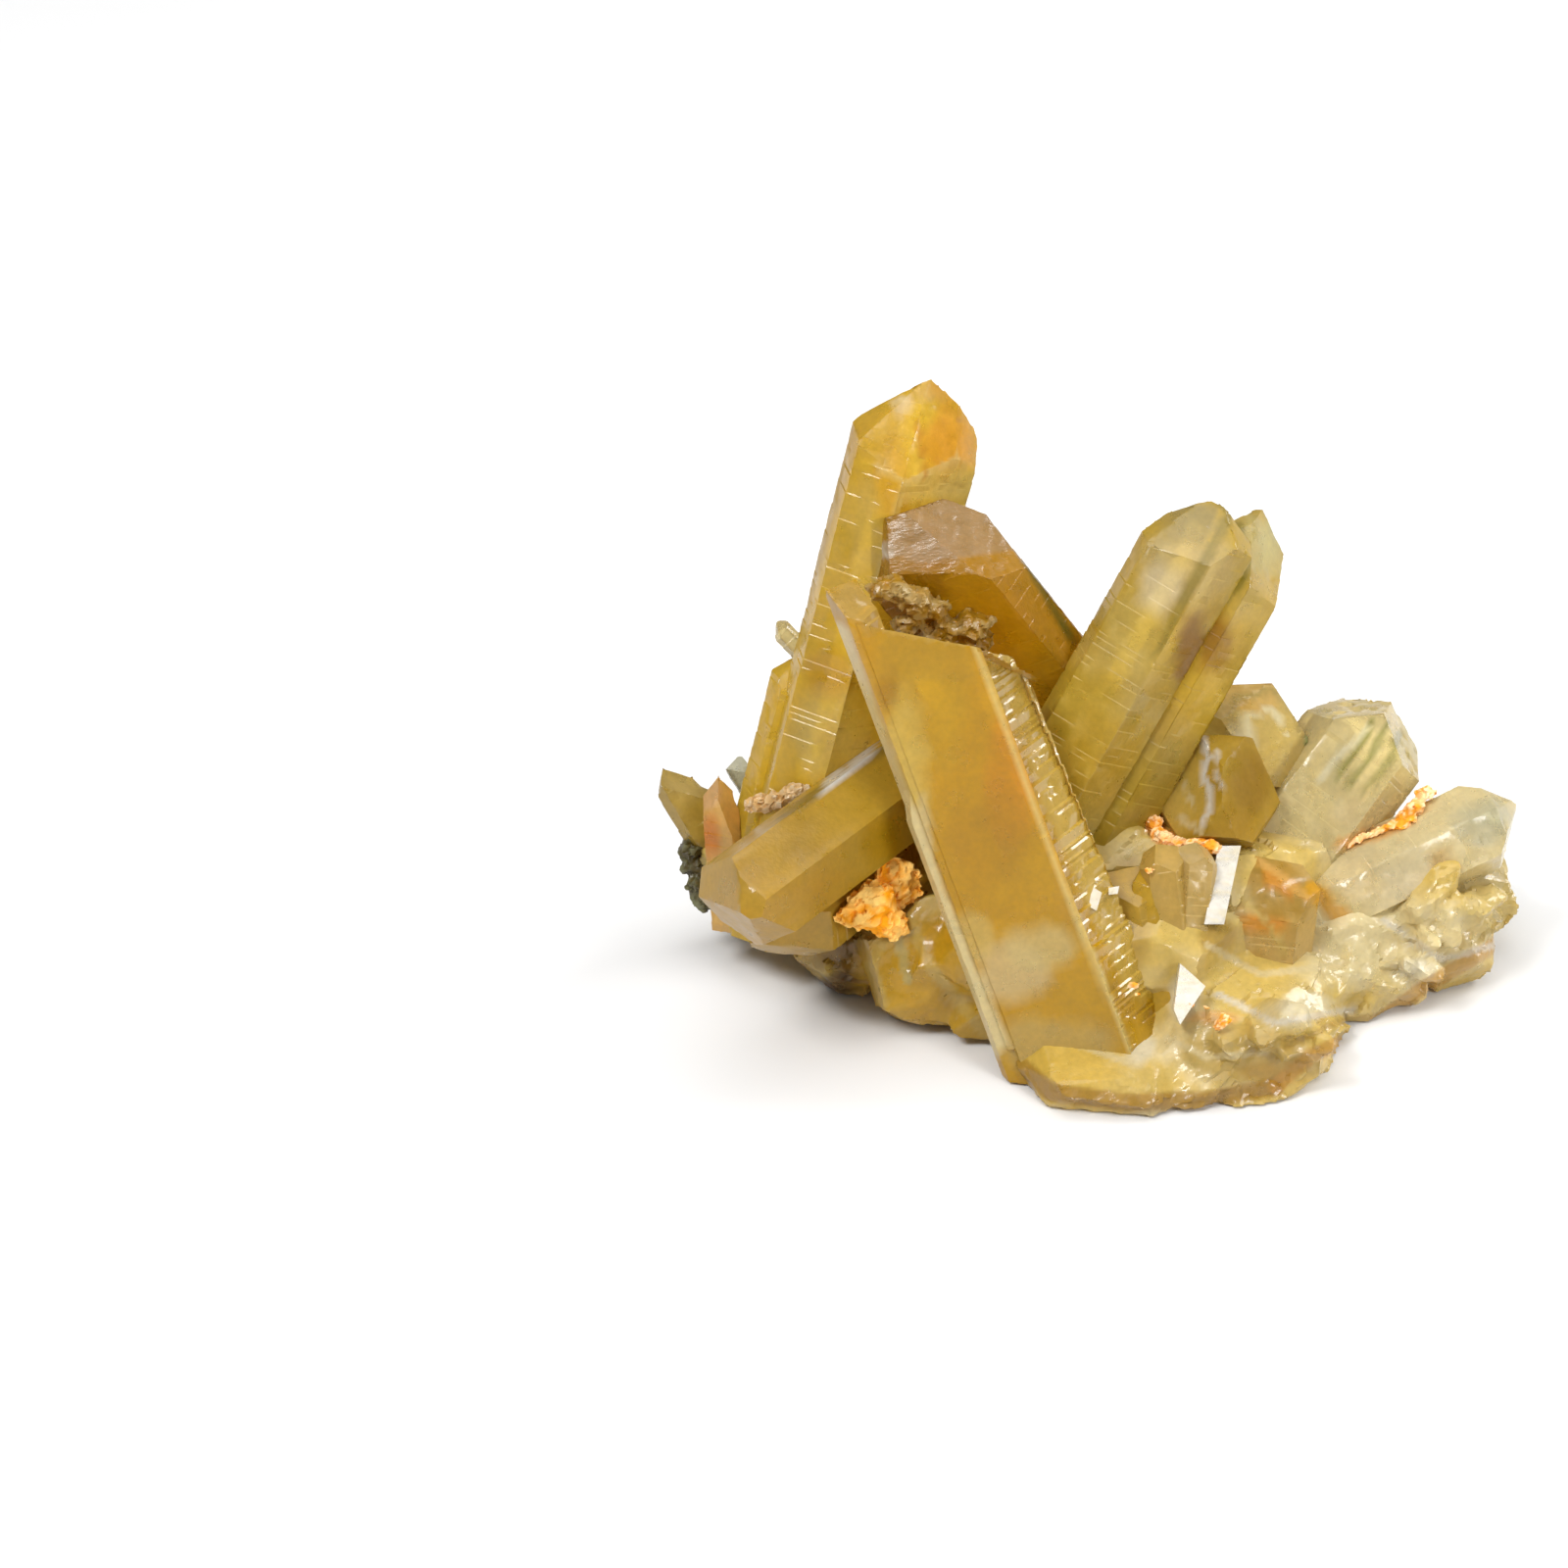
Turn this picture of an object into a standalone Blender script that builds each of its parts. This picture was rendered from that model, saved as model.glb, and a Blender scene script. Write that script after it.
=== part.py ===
# Cluster of yellow quartz crystals on a broken base, one solid, 88 mm wide

import math
import random

import bmesh
import bpy
from mathutils import Vector

# Driving dimensions, in millimetres
MM = 0.001
RHOMB_LEAN = 38.2
FLOOR_DEPTH = 40.0
FLOOR_REACH = 90.0
BLOCK = 150.0
CENTRE_X = 0.235
CENTRE_Y = 0.38

# Growth ledges down the right side of the front crystal
LEDGES = 9
LEDGE_STEP = 0.18
LEDGE_TUCK = 0.04
LEDGE_TOP = 31.0

# Broken patch on the middle crystal
PATCH_LUMPS = 12
PATCH_START = Vector((-20.5, -2.4, 45.5))
PATCH_END = Vector((-13.0, -1.4, 39.5))

# Broken lumps along the front rim of the base
RIM_LUMPS = 18
RIM_START = Vector((-10.0, -9.0, 2.5))
RIM_END = Vector((42.0, 7.0, 2.5))
RIM_BOW = 10.0

# The direction from which the cluster shows best, which each crystal's turn is counted from
FRONT = Vector((0.0, -math.cos(math.radians(30)), math.sin(math.radians(30))))

AMBER = (0.55, 0.36, 0.06, 1.0)
GLOSS_ROUGHNESS = 0.12


def clear_scene():
    for old in list(bpy.data.objects):
        bpy.data.objects.remove(old, do_unlink=True)


def quartz_material():
    material = bpy.data.materials.new("yellow_quartz")
    material.use_nodes = True
    shader = material.node_tree.nodes["Principled BSDF"]
    shader.inputs["Base Color"].default_value = AMBER
    shader.inputs["Roughness"].default_value = GLOSS_ROUGHNESS
    shader.inputs["Metallic"].default_value = 0.0
    return material


def cut(body, point, normal):
    """Cuts away what lies past a plane and closes the cut with one flat face."""
    parts = body.verts[:] + body.edges[:] + body.faces[:]
    result = bmesh.ops.bisect_plane(
        body, geom=parts, dist=1e-5, plane_co=point, plane_no=normal, clear_outer=True)
    rim = [item for item in result["geom_cut"] if isinstance(item, bmesh.types.BMEdge)]
    if rim:
        bmesh.ops.contextual_create(body, geom=rim)


def convex_body(name, centre, planes, pieces):
    """Makes the solid that lies inside all the planes, each a point and a normal."""
    body = bmesh.new()
    bmesh.ops.create_cube(body, size=BLOCK)
    bmesh.ops.translate(body, verts=body.verts, vec=centre)
    for point, normal in planes:
        cut(body, point, normal)
    bmesh.ops.dissolve_degenerate(body, dist=1e-4, edges=body.edges)
    bmesh.ops.recalc_face_normals(body, faces=body.faces)
    bmesh.ops.translate(body, verts=body.verts, vec=(-CENTRE_X, -CENTRE_Y, 0.0))
    bmesh.ops.scale(body, vec=(MM, MM, MM), verts=body.verts)
    mesh = bpy.data.meshes.new(name)
    body.to_mesh(mesh)
    body.free()
    piece = bpy.data.objects.new(name, mesh)
    piece.hide_render = True
    piece.display_type = "WIRE"
    pieces.objects.link(piece)
    return piece


def axis_frame(root, tip):
    """Gives a crystal's length and its three directions: along, to its right and to its front."""
    along = Vector(tip) - Vector(root)
    length = along.length
    along.normalize()
    right = along.cross(FRONT).normalized()
    front = right.cross(along)
    return length, along, right, front


def crystal(name, root, tip, turn, sides, tops, pieces, foot=4.0):
    """A prism whose sides stand 60 degrees apart, closed by sloping top faces.

    sides: how far each side stands from the axis, counted round from turn.
    tops: turn, lean above level, and reach, the place on the axis that the face would cross.
    foot: how far the crystal goes on below its root.
    """
    length, along, right, front = axis_frame(root, tip)
    root = Vector(root)
    planes = [(root - along * foot, -along)]
    for step, distance in enumerate(sides):
        angle = math.radians(turn + 60 * step)
        out = right * math.cos(angle) + front * math.sin(angle)
        planes.append((root + out * distance, out))
    for top_turn, lean, reach in tops:
        angle = math.radians(top_turn)
        slope = math.radians(lean)
        level = right * math.cos(angle) + front * math.sin(angle)
        planes.append((root + along * reach, level * math.cos(slope) + along * math.sin(slope)))
    return convex_body(name, root, planes, pieces)


def plain_crystal(name, root, tip, radius, seed, pieces, foot=4.0):
    """A smaller crystal of the regular habit, each one slightly uneven."""
    chance = random.Random(seed)
    length = axis_frame(root, tip)[0]
    turn = chance.uniform(0.0, 60.0)
    sides = [radius * chance.uniform(0.78, 1.08) for _ in range(6)]
    tops = []
    for step in range(6):
        reach = length + radius * chance.choice((-0.25, -0.05, 0.15, 0.45))
        tops.append((turn + 60 * step, RHOMB_LEAN, reach))
    return crystal(name, root, tip, turn, sides, tops, pieces, foot)


def lump(name, centre, radii, seed, faces, pieces):
    """A broken lump: a block cut by planes that touch a rough ellipsoid."""
    chance = random.Random(seed)
    middle = Vector(centre)
    golden = math.pi * (3.0 - math.sqrt(5.0))
    planes = []
    for index in range(faces):
        height = 1.0 - 2.0 * (index + 0.5) / faces
        level = math.sqrt(1.0 - height * height)
        angle = golden * index + chance.uniform(-0.35, 0.35)
        out = Vector((level * math.cos(angle), level * math.sin(angle), height))
        out = (out + Vector([chance.uniform(-0.22, 0.22) for _ in range(3)])).normalized()
        touch = Vector([out[i] * radii[i] for i in range(3)])
        reach = touch.length * chance.uniform(0.86, 1.04)
        spread = Vector([out[i] / radii[i] for i in range(3)]).normalized()
        planes.append((middle + touch.normalized() * reach, spread))
    return convex_body(name, middle, planes, pieces)


def tall_back(pieces):
    """The tallest crystal, its small shoulder crystal and a pale sliver behind them."""
    crystal("tall_back", (-28.3, 2.0, 16.1), (-16.7, 8.0, 64.1), 45,
            (2.8, 4.0, 5.9, 5.6, 5.5, 7.1),
            ((91, 33.8, 46.0), (57, 28.6, 45.9), (31, 24.9, 49.8), (157, 43.6, 48.5),
             (225, 38.0, 50.7), (285, 38.0, 51.4), (345, 45.0, 51.4)), pieces, foot=12.0)
    crystal("tall_back_shoulder", (-33.9, 5.0, 16.7), (-29.9, 7.0, 33.4), 30,
            (2.6, 2.5, 1.9, 1.9, 2.6, 2.6),
            ((30, 38.2, 18.5), (90, 38.2, 17.5), (150, 48.0, 17.0), (210, 38.2, 18.0), (270, 38.2, 19.0)),
            pieces, foot=8.0)
    plain_crystal("pale_sliver", (-29.6, 8.0, 34.2), (-32.2, 9.0, 36.6), 1.1, 5, pieces)


def middle_stub(pieces):
    """The short thick crystal behind the front one, with its broken patch."""
    crystal("middle_stub", (3.2, 8.0, 18.4), (-19.2, 0.0, 52.9), 5,
            (6.2, 5.8, 3.1, 7.6, 7.0, 6.0),
            ((33, 35.9, 40.0), (97, 44.6, 39.2), (312, 53.0, 42.4), (346, 25.0, 49.0), (190, 40.0, 44.0)),
            pieces, foot=8.0)
    chance = random.Random(21)
    for index in range(PATCH_LUMPS):
        along = index / (PATCH_LUMPS - 1)
        shift = Vector((chance.uniform(-1.2, 1.2), chance.uniform(-0.5, 0.5), chance.uniform(-2.0, 2.0)))
        size = chance.uniform(0.9, 1.9)
        centre = PATCH_START.lerp(PATCH_END, along) + shift
        lump(f"patch_{index}", centre, (size, size, 0.8 * size), 40 + index, 10, pieces)


def front_main(pieces):
    """The big front crystal: broken across its top, with growth ledges down its right side."""
    root = Vector((-3.0, -17.0, 9.7))
    tip = Vector((-16.4, -8.0, 44.9))
    crystal("front_main", root, tip, 45, (2.6, 1.8, 6.9, 7.0, 6.0, 6.6),
            ((321, 46.6, 36.9),), pieces, foot=12.0)
    crystal("front_shelf", root, tip, 45, (2.68, 1.76, 4.6, 6.1, 5.1, 6.66),
            ((293, 57.0, 35.9),), pieces, foot=11.8)
    length, along, right, front = axis_frame(root, tip)
    for level in range(LEDGES):
        top = LEDGE_TOP * (1.0 - level / LEDGES)
        wide = LEDGE_STEP * (level + 1)
        tuck = LEDGE_TUCK * (level + 1)
        sides = (2.6 + wide, 1.76 - tuck, 4.6 - tuck, 6.1 - tuck, 5.1 - tuck, 6.6 + wide)
        crystal(f"front_ledge_{level}", root, tip, 45, sides,
                ((45, 25.0, top + 5.5), (225, 60.0, top + 1.0)), pieces, foot=11.8 - tuck)
    crystal("front_flank", root, tip, 45, (1.0, 1.3, 8.3, 8.3, 3.0, 3.0),
            ((165, 15.8, 50.7), (0, 88.0, 28.0)), pieces, foot=11.0)
    knob_root = root - right * 6.8 - front * 2.5
    crystal("front_knob", knob_root, knob_root + along * 45.0, 45, (2.2, 2.3, 1.6, 2.5, 3.0, 2.0),
            ((56, 48.7, 44.0), (250, 45.0, 47.0)), pieces)


def right_pair(pieces):
    """Two crystals grown side by side, leaning to the right."""
    crystal("right_pair_left", (-7.2, -3.0, 19.1), (9.2, 3.0, 50.0), 40,
            (5.0, 3.9, 4.5, 3.4, 5.0, 5.8),
            ((114, 39.6, 37.8), (112, 42.8, 37.2), (160, 38.2, 38.6), (220, 38.2, 39.6),
             (280, 38.2, 40.2), (20, 60.0, 39.2)), pieces, foot=12.0)
    crystal("right_pair_right", (0.4, 0.0, 17.3), (15.7, 6.0, 46.8), 40,
            (3.7, 4.35, 5.0, 3.2, 5.0, 4.2),
            ((99, 35.8, 36.8), (27, 39.8, 34.2), (28, 25.5, 38.0), (220, 38.2, 40.0),
             (280, 38.2, 39.0), (160, 50.0, 37.0)), pieces, foot=16.0)


def left_slanted(pieces):
    """The crystal that leans out to the lower left, and the stub under its end."""
    crystal("left_slanted", (-18.3, 4.0, 21.8), (-35.1, -14.0, 18.0), 8,
            (4.95, 7.5, 7.5, 4.7, 4.0, 3.1),
            ((180, 40.5, 32.0), (233, 63.0, 27.7), (68, 50.0, 34.5), (0, 60.0, 29.5)), pieces, foot=8.0)
    plain_crystal("left_stub", (-25.2, -2.0, 12.8), (-33.2, -12.0, 11.4), 4.6, 3, pieces, foot=8.0)


def blunt_crystals(pieces):
    """The two crystals that point towards the viewer."""
    crystal("blunt_front", (12.0, 8.0, 13.8), (12.2, -3.5, 25.3), 30,
            (5.7, 5.2, 5.7, 5.5, 5.6, 5.7),
            ((176, 47.0, 15.6), (4, 47.0, 15.9), (90, 62.0, 16.6), (270, 62.0, 16.8)), pieces, foot=6.0)
    crystal("pale_blunt", (15.7, 17.0, 16.1), (15.6, 4.0, 26.6), 30,
            (5.6, 5.0, 5.6, 5.6, 5.8, 5.4),
            ((30, 44.0, 16.6), (90, 60.0, 16.4), (150, 50.0, 17.0), (270, 55.0, 16.8), (330, 48.0, 16.8)),
            pieces, foot=8.0)


def pale_right(pieces):
    """The pale broken crystals on the right, and the points on the right rim."""
    crystal("pale_broken", (20.6, 5.0, 14.3), (29.1, 11.0, 24.1), 35,
            (6.4, 4.6, 5.4, 6.0, 5.5, 6.0),
            ((160, 44.0, 16.8), (35, 52.0, 16.8), (80, 70.0, 17.4), (280, 60.0, 17.0)), pieces, foot=8.0)
    crystal("pale_leaf", (21.8, 8.0, 15.0), (25.6, 10.5, 26.2), 20,
            (2.2, 2.4, 2.0, 2.4, 2.4, 2.2), ((140, 50.0, 10.6), (320, 50.0, 10.8), (60, 60.0, 11.0)), pieces)
    crystal("pale_right", (25.3, 0.0, 10.4), (42.3, 5.0, 16.7), 20,
            (4.4, 4.4, 4.0, 4.4, 4.6, 4.4),
            ((20, 48.0, 19.6), (80, 55.0, 20.0), (200, 40.0, 20.4), (140, 45.0, 21.0), (320, 45.0, 21.0)),
            pieces, foot=8.0)
    plain_crystal("rim_point_a", (32.8, 4.0, 8.6), (43.1, 3.0, 9.7), 3.4, 7, pieces)
    plain_crystal("rim_point_b", (32.7, 2.4, 6.0), (42.9, 2.0, 5.8), 3.2, 9, pieces)
    plain_crystal("rim_point_c", (33.0, 7.0, 11.0), (42.4, 9.0, 13.6), 3.0, 12, pieces)


def front_prisms(pieces):
    """The small prisms that stand on the front of the base, right of the front crystal."""
    crystal("amber_block", (16.7, -6.4, 1.0), (17.9, -6.0, 16.4), 32,
            (4.6, 4.0, 4.7, 4.6, 4.6, 4.6),
            ((32, 45.0, 17.0), (92, 30.0, 19.5), (152, 50.0, 16.4), (272, 45.0, 18.0)), pieces)
    crystal("bright_prism", (11.2, -10.0, 10.8), (13.0, -7.5, 20.6), 45,
            (0.9, 1.1, 0.9, 0.9, 1.2, 0.9), ((105, 40.0, 10.6), (285, 40.0, 10.4)), pieces, foot=6.0)
    crystal("front_prism_a", (7.9, -12.6, 8.1), (5.9, -7.8, 20.7), 35,
            (2.2, 1.8, 2.2, 2.0, 2.0, 2.2),
            ((60, 45.0, 13.2), (150, 42.0, 13.8), (270, 45.0, 14.0)), pieces, foot=8.0)
    crystal("front_prism_b", (9.2, -11.4, 10.9), (9.8, -7.3, 20.1), 20,
            (1.9, 1.7, 1.9, 1.9, 1.9, 1.9),
            ((20, 45.0, 10.4), (110, 42.0, 10.6), (250, 45.0, 10.8)), pieces, foot=8.0)
    crystal("front_prism_c", (6.4, -13.6, 8.1), (4.3, -8.6, 18.1), 50,
            (1.6, 1.6, 1.6, 1.6, 1.6, 1.6), ((60, 45.0, 11.4), (180, 42.0, 11.8)), pieces, foot=8.0)
    crystal("amber_leaf", (5.0, -12.2, 6.9), (1.2, -5.2, 26.4), 60,
            (2.7, 2.4, 2.8, 2.7, 2.6, 2.8), ((90, 40.0, 12.0), (270, 40.0, 12.4)), pieces, foot=8.0)
    crystal("front_wedge", (8.4, -17.0, 4.0), (8.8, -15.4, 11.4), 75,
            (1.9, 1.5, 1.8, 1.7, 1.7, 1.7), ((45, 30.0, 8.2), (200, 40.0, 9.0)), pieces)


def left_chips(pieces):
    """The broken flakes at the far left and the dark beads below them."""
    crystal("olive_flake", (-38.2, 8.0, 11.6), (-42.6, 8.0, 20.2), 25,
            (2.2, 1.6, 2.4, 2.4, 1.6, 2.2), ((20, 38.0, 8.0), (200, 38.0, 11.0)), pieces, foot=6.0)
    crystal("orange_flake", (-36.9, 2.6, 10.0), (-37.7, 4.6, 20.8), 65,
            (2.4, 2.0, 2.2, 2.6, 2.2, 2.4),
            ((35, 34.0, 12.2), (155, 44.0, 11.8), (275, 40.0, 12.4)), pieces, foot=5.0)
    crystal("grey_flake", (-33.0, 9.0, 14.6), (-35.9, 9.0, 19.8), 50,
            (1.2, 0.9, 1.2, 1.2, 0.9, 1.2), ((60, 45.0, 6.6), (240, 45.0, 6.8)), pieces, foot=6.0)
    for index in range(4):
        place = Vector((-40.6 + 0.5 * index, 6.4 - 0.5 * index, 11.4 - 1.6 * index))
        lump(f"bead_{index}", place, (1.3, 1.3, 1.2), 60 + index, 12, pieces)


def base_lumps(pieces):
    """The broken base: the big lobes, and smaller broken lumps along its rim."""
    lobes = (
        ((1.5, -12.5, 5.5), (12.5, 11.5, 9.5), 4),
        ((13.0, -9.5, 4.0), (13.0, 14.5, 8.5), 8),
        ((22.5, 1.5, 4.5), (12.5, 10.5, 9.5), 15),
        ((35.0, 10.5, 4.5), (9.0, 7.0, 7.0), 16),
        ((5.0, 14.0, 6.0), (24.0, 10.0, 11.0), 23),
        ((-22.0, 7.0, 8.5), (14.0, 9.5, 10.5), 27),
        ((-33.0, 7.0, 9.0), (8.0, 5.5, 6.5), 31),
        ((-15.5, -6.0, 6.5), (8.0, 6.0, 8.0), 34),
        ((-25.0, -0.5, 4.6), (5.0, 5.0, 5.0), 37),
        ((16.5, 9.0, 14.0), (5.0, 4.5, 4.5), 38),
        ((-12.5, -10.5, 10.0), (4.0, 4.0, 4.0), 39),
        ((8.5, -19.5, 2.5), (7.5, 5.5, 4.0), 43),
    )
    for index, (centre, radii, seed) in enumerate(lobes):
        lump(f"lobe_{index}", centre, radii, seed, 24, pieces)
    chance = random.Random(77)
    for index in range(RIM_LUMPS):
        share = index / (RIM_LUMPS - 1)
        place = RIM_START.lerp(RIM_END, share)
        place.y -= RIM_BOW * math.sin(math.pi * share)
        place += Vector((chance.uniform(-1.0, 1.0), chance.uniform(-1.0, 1.0), chance.uniform(0.0, 2.4)))
        size = chance.uniform(2.4, 4.2)
        lump(f"rim_{index}", place, (1.2 * size, size, 0.9 * size), 100 + index, 13, pieces)


def druse(label, centre, radii, azimuths, heights, count, seed, pieces):
    """Small crystals that stand on a lobe and point outwards."""
    chance = random.Random(seed)
    middle = Vector(centre)
    for index in range(count):
        azimuth = math.radians(chance.uniform(*azimuths))
        height = math.radians(chance.uniform(*heights))
        level = math.cos(height)
        out = Vector((math.cos(azimuth) * level, math.sin(azimuth) * level, math.sin(height)))
        root = middle + Vector([0.84 * out[i] * radii[i] for i in range(3)])
        lean = Vector([chance.uniform(-0.35, 0.35) for _ in range(3)])
        size = chance.uniform(1.0, 2.2)
        tip = root + (out + lean).normalized() * size * chance.uniform(1.7, 3.2)
        plain_crystal(f"{label}_{index}", root, tip, size, seed + index, pieces, foot=1.5)


def small_crystals(pieces):
    druse("druse_front", (13.0, -9.5, 4.0), (13.0, 14.5, 8.5), (-95, -25), (5, 55), 16, 200, pieces)
    druse("druse_right", (27.0, 2.0, 5.0), (14.0, 12.0, 9.0), (-70, 20), (0, 60), 20, 300, pieces)
    druse("druse_back", (5.0, 14.0, 6.0), (24.0, 10.0, 11.0), (30, 150), (0, 60), 22, 400, pieces)
    druse("druse_left", (-24.0, 7.0, 8.5), (14.0, 9.5, 10.5), (100, 200), (0, 50), 12, 500, pieces)
    druse("druse_low_left", (-15.5, -6.0, 6.5), (8.0, 6.0, 8.0), (-150, -80), (10, 60), 6, 600, pieces)


def back_crystals(pieces):
    """Medium crystals on the side that the front ones hide."""
    plain_crystal("back_a", (-6.0, 12.0, 10.0), (-10.0, 21.0, 29.0), 4.4, 41, pieces, foot=5.0)
    plain_crystal("back_b", (6.0, 12.0, 10.0), (7.0, 21.5, 25.0), 3.8, 42, pieces, foot=5.0)
    plain_crystal("back_c", (-21.0, 10.0, 10.0), (-25.0, 17.5, 23.0), 3.4, 43, pieces, foot=5.0)
    plain_crystal("back_d", (23.0, 11.0, 6.0), (28.0, 19.0, 17.0), 3.6, 44, pieces, foot=5.0)


def make_core(pieces):
    """The middle of the base, which all the other bodies are joined to."""
    cluster = lump("crystal_cluster", (2.0, 2.0, 7.0), (24.0, 17.0, 12.0), 11, 26, pieces)
    pieces.objects.unlink(cluster)
    bpy.context.scene.collection.objects.link(cluster)
    cluster.hide_render = False
    cluster.display_type = "TEXTURED"
    cluster.data.materials.append(quartz_material())
    return cluster


def floor_cutter():
    """A block under the floor level, which leaves the cluster a flat cut base."""
    body = bmesh.new()
    bmesh.ops.create_cube(body, size=MM)
    bmesh.ops.scale(body, vec=(2 * FLOOR_REACH, 2 * FLOOR_REACH, FLOOR_DEPTH), verts=body.verts)
    bmesh.ops.translate(body, verts=body.verts, vec=(0.0, 0.0, -0.5 * FLOOR_DEPTH * MM))
    mesh = bpy.data.meshes.new("floor_cutter")
    body.to_mesh(mesh)
    body.free()
    cutter = bpy.data.objects.new("floor_cutter", mesh)
    cutter.hide_render = True
    cutter.display_type = "WIRE"
    bpy.context.scene.collection.objects.link(cutter)
    return cutter


def main():
    clear_scene()
    pieces = bpy.data.collections.new("crystal_pieces")
    bpy.context.scene.collection.children.link(pieces)
    cluster = make_core(pieces)
    tall_back(pieces)
    middle_stub(pieces)
    front_main(pieces)
    right_pair(pieces)
    left_slanted(pieces)
    blunt_crystals(pieces)
    pale_right(pieces)
    front_prisms(pieces)
    left_chips(pieces)
    base_lumps(pieces)
    small_crystals(pieces)
    back_crystals(pieces)
    join = cluster.modifiers.new("grown_together", "BOOLEAN")
    join.operation = "UNION"
    join.operand_type = "COLLECTION"
    join.collection = pieces
    join.solver = "EXACT"
    base = cluster.modifiers.new("flat_base", "BOOLEAN")
    base.operation = "DIFFERENCE"
    base.object = floor_cutter()
    base.solver = "EXACT"


main()
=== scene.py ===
# The yellow quartz cluster as it looks: crystals with growth ledges and cloudy insides on a rough base

import math
import random

import bmesh
import bpy
import numpy as np
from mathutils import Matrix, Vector


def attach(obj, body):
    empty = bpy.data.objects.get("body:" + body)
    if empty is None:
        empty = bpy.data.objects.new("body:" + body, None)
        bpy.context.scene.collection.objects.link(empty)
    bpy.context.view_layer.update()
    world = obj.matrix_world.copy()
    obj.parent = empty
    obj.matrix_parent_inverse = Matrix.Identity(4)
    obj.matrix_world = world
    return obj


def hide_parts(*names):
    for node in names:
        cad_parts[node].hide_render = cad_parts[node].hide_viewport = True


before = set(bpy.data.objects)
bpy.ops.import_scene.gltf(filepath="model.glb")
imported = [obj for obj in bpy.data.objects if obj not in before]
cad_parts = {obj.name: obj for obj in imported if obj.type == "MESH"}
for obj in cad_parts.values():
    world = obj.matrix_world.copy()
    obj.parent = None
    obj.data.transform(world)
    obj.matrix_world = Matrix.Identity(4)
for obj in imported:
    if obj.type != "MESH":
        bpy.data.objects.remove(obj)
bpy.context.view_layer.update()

# Everything is laid out in millimetres and scaled to metres at the end
MM = 0.001
CENTRE = Vector((0.235, 0.38, 0.0))
RHOMB_LEAN = 38.2
BLOCK_SIZE = 150.0
FRONT = Vector((0.0, -math.cos(math.radians(30)), math.sin(math.radians(30))))
UP_IN_VIEW = Vector((0.0, math.sin(math.radians(30)), math.cos(math.radians(30))))

# Camera, in millimetres
CAMERA_LENS = 120.0
CAMERA_DISTANCE = 533.0
AIM_RIGHT = -31.1
AIM_UP = 19.9
CAMERA_AIM = Vector((AIM_RIGHT, 0.0, 0.0)) + AIM_UP * UP_IN_VIEW



# Noise

def ramp(value, low, high):
    """How far a value has gone from low to high, kept from 0 to 1."""
    return np.clip((value - low) / (high - low), 0.0, 1.0)


def hashed(ix, iy, iz, seed):
    """A repeatable number from 0 to 1 for each whole-number place."""
    mixed = (ix.astype(np.int64) * 374761393 + iy.astype(np.int64) * 668265263
             + iz.astype(np.int64) * 2147483647 + seed * 974634777) & 0xFFFFFFFF
    mixed = ((mixed ^ (mixed >> 13)) * 1274126177) & 0xFFFFFFFF
    mixed = ((mixed ^ (mixed >> 16)) * 2246822519) & 0xFFFFFFFF
    mixed = mixed ^ (mixed >> 15)
    return (mixed & 0xFFFFFF) / float(0xFFFFFF)


def value_noise(places, size, seed):
    """Smooth noise from 0 to 1, with features of the given size in each direction."""
    scaled = places / np.asarray(size, float)
    whole = np.floor(scaled)
    part = scaled - whole
    part = part * part * (3.0 - 2.0 * part)
    whole = whole.astype(np.int64)
    total = np.zeros(len(places))
    for corner in range(8):
        step = np.array([corner & 1, (corner >> 1) & 1, (corner >> 2) & 1])
        weight = np.prod(np.where(step == 1, part, 1.0 - part), axis=1)
        total += weight * hashed(*(whole + step).T, seed)
    return total


def rough_noise(places, size, octaves, seed):
    """Several sizes of noise added up, from 0 to 1."""
    total = np.zeros(len(places))
    share = 0.0
    for octave in range(octaves):
        weight = 0.5 ** octave
        total += weight * value_noise(places, np.asarray(size, float) * weight, seed + 17 * octave)
        share += weight
    return total / share


def facets(places, size, seed):
    """Breaks space into cells, each with its own tilted plane: gives that plane's height from -1 to 1."""
    scaled = places / size
    whole = np.floor(scaled).astype(np.int64)
    best = np.full(len(places), 1e9)
    height = np.zeros(len(places))
    for dx in (-1, 0, 1):
        for dy in (-1, 0, 1):
            for dz in (-1, 0, 1):
                cell = whole + np.array([dx, dy, dz])
                jitter = np.stack([hashed(*cell.T, seed + k) for k in range(3)], axis=1)
                offset = scaled - (cell + jitter)
                distance = (offset ** 2).sum(axis=1)
                tilt = np.stack([hashed(*cell.T, seed + 5 + k) for k in range(3)], axis=1) - 0.5
                lift = hashed(*cell.T, seed + 9) - 0.5
                nearer = distance < best
                best = np.where(nearer, distance, best)
                height = np.where(nearer, 1.6 * (offset * tilt).sum(axis=1) + lift, height)
    return height


# Crystal shapes

def cut(body, point, normal, keep_both=False):
    """Cuts a body with a plane, closing the cut with a flat face unless both halves stay."""
    parts = body.verts[:] + body.edges[:] + body.faces[:]
    result = bmesh.ops.bisect_plane(
        body, geom=parts, dist=1e-5, plane_co=point, plane_no=normal, clear_outer=not keep_both)
    if keep_both:
        return
    rim = [item for item in result["geom_cut"] if isinstance(item, bmesh.types.BMEdge)]
    if rim:
        bmesh.ops.contextual_create(body, geom=rim)


# How near a vertex is to a plane that it counts as lying on
ON_PLANE = 4e-3


def axis_frame(root, tip):
    """Gives a crystal's length and its three directions: along, to its right and to its front."""
    along = Vector(tip) - Vector(root)
    length = along.length
    along.normalize()
    right = along.cross(FRONT).normalized()
    front = right.cross(along)
    return length, along, right, front


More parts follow.
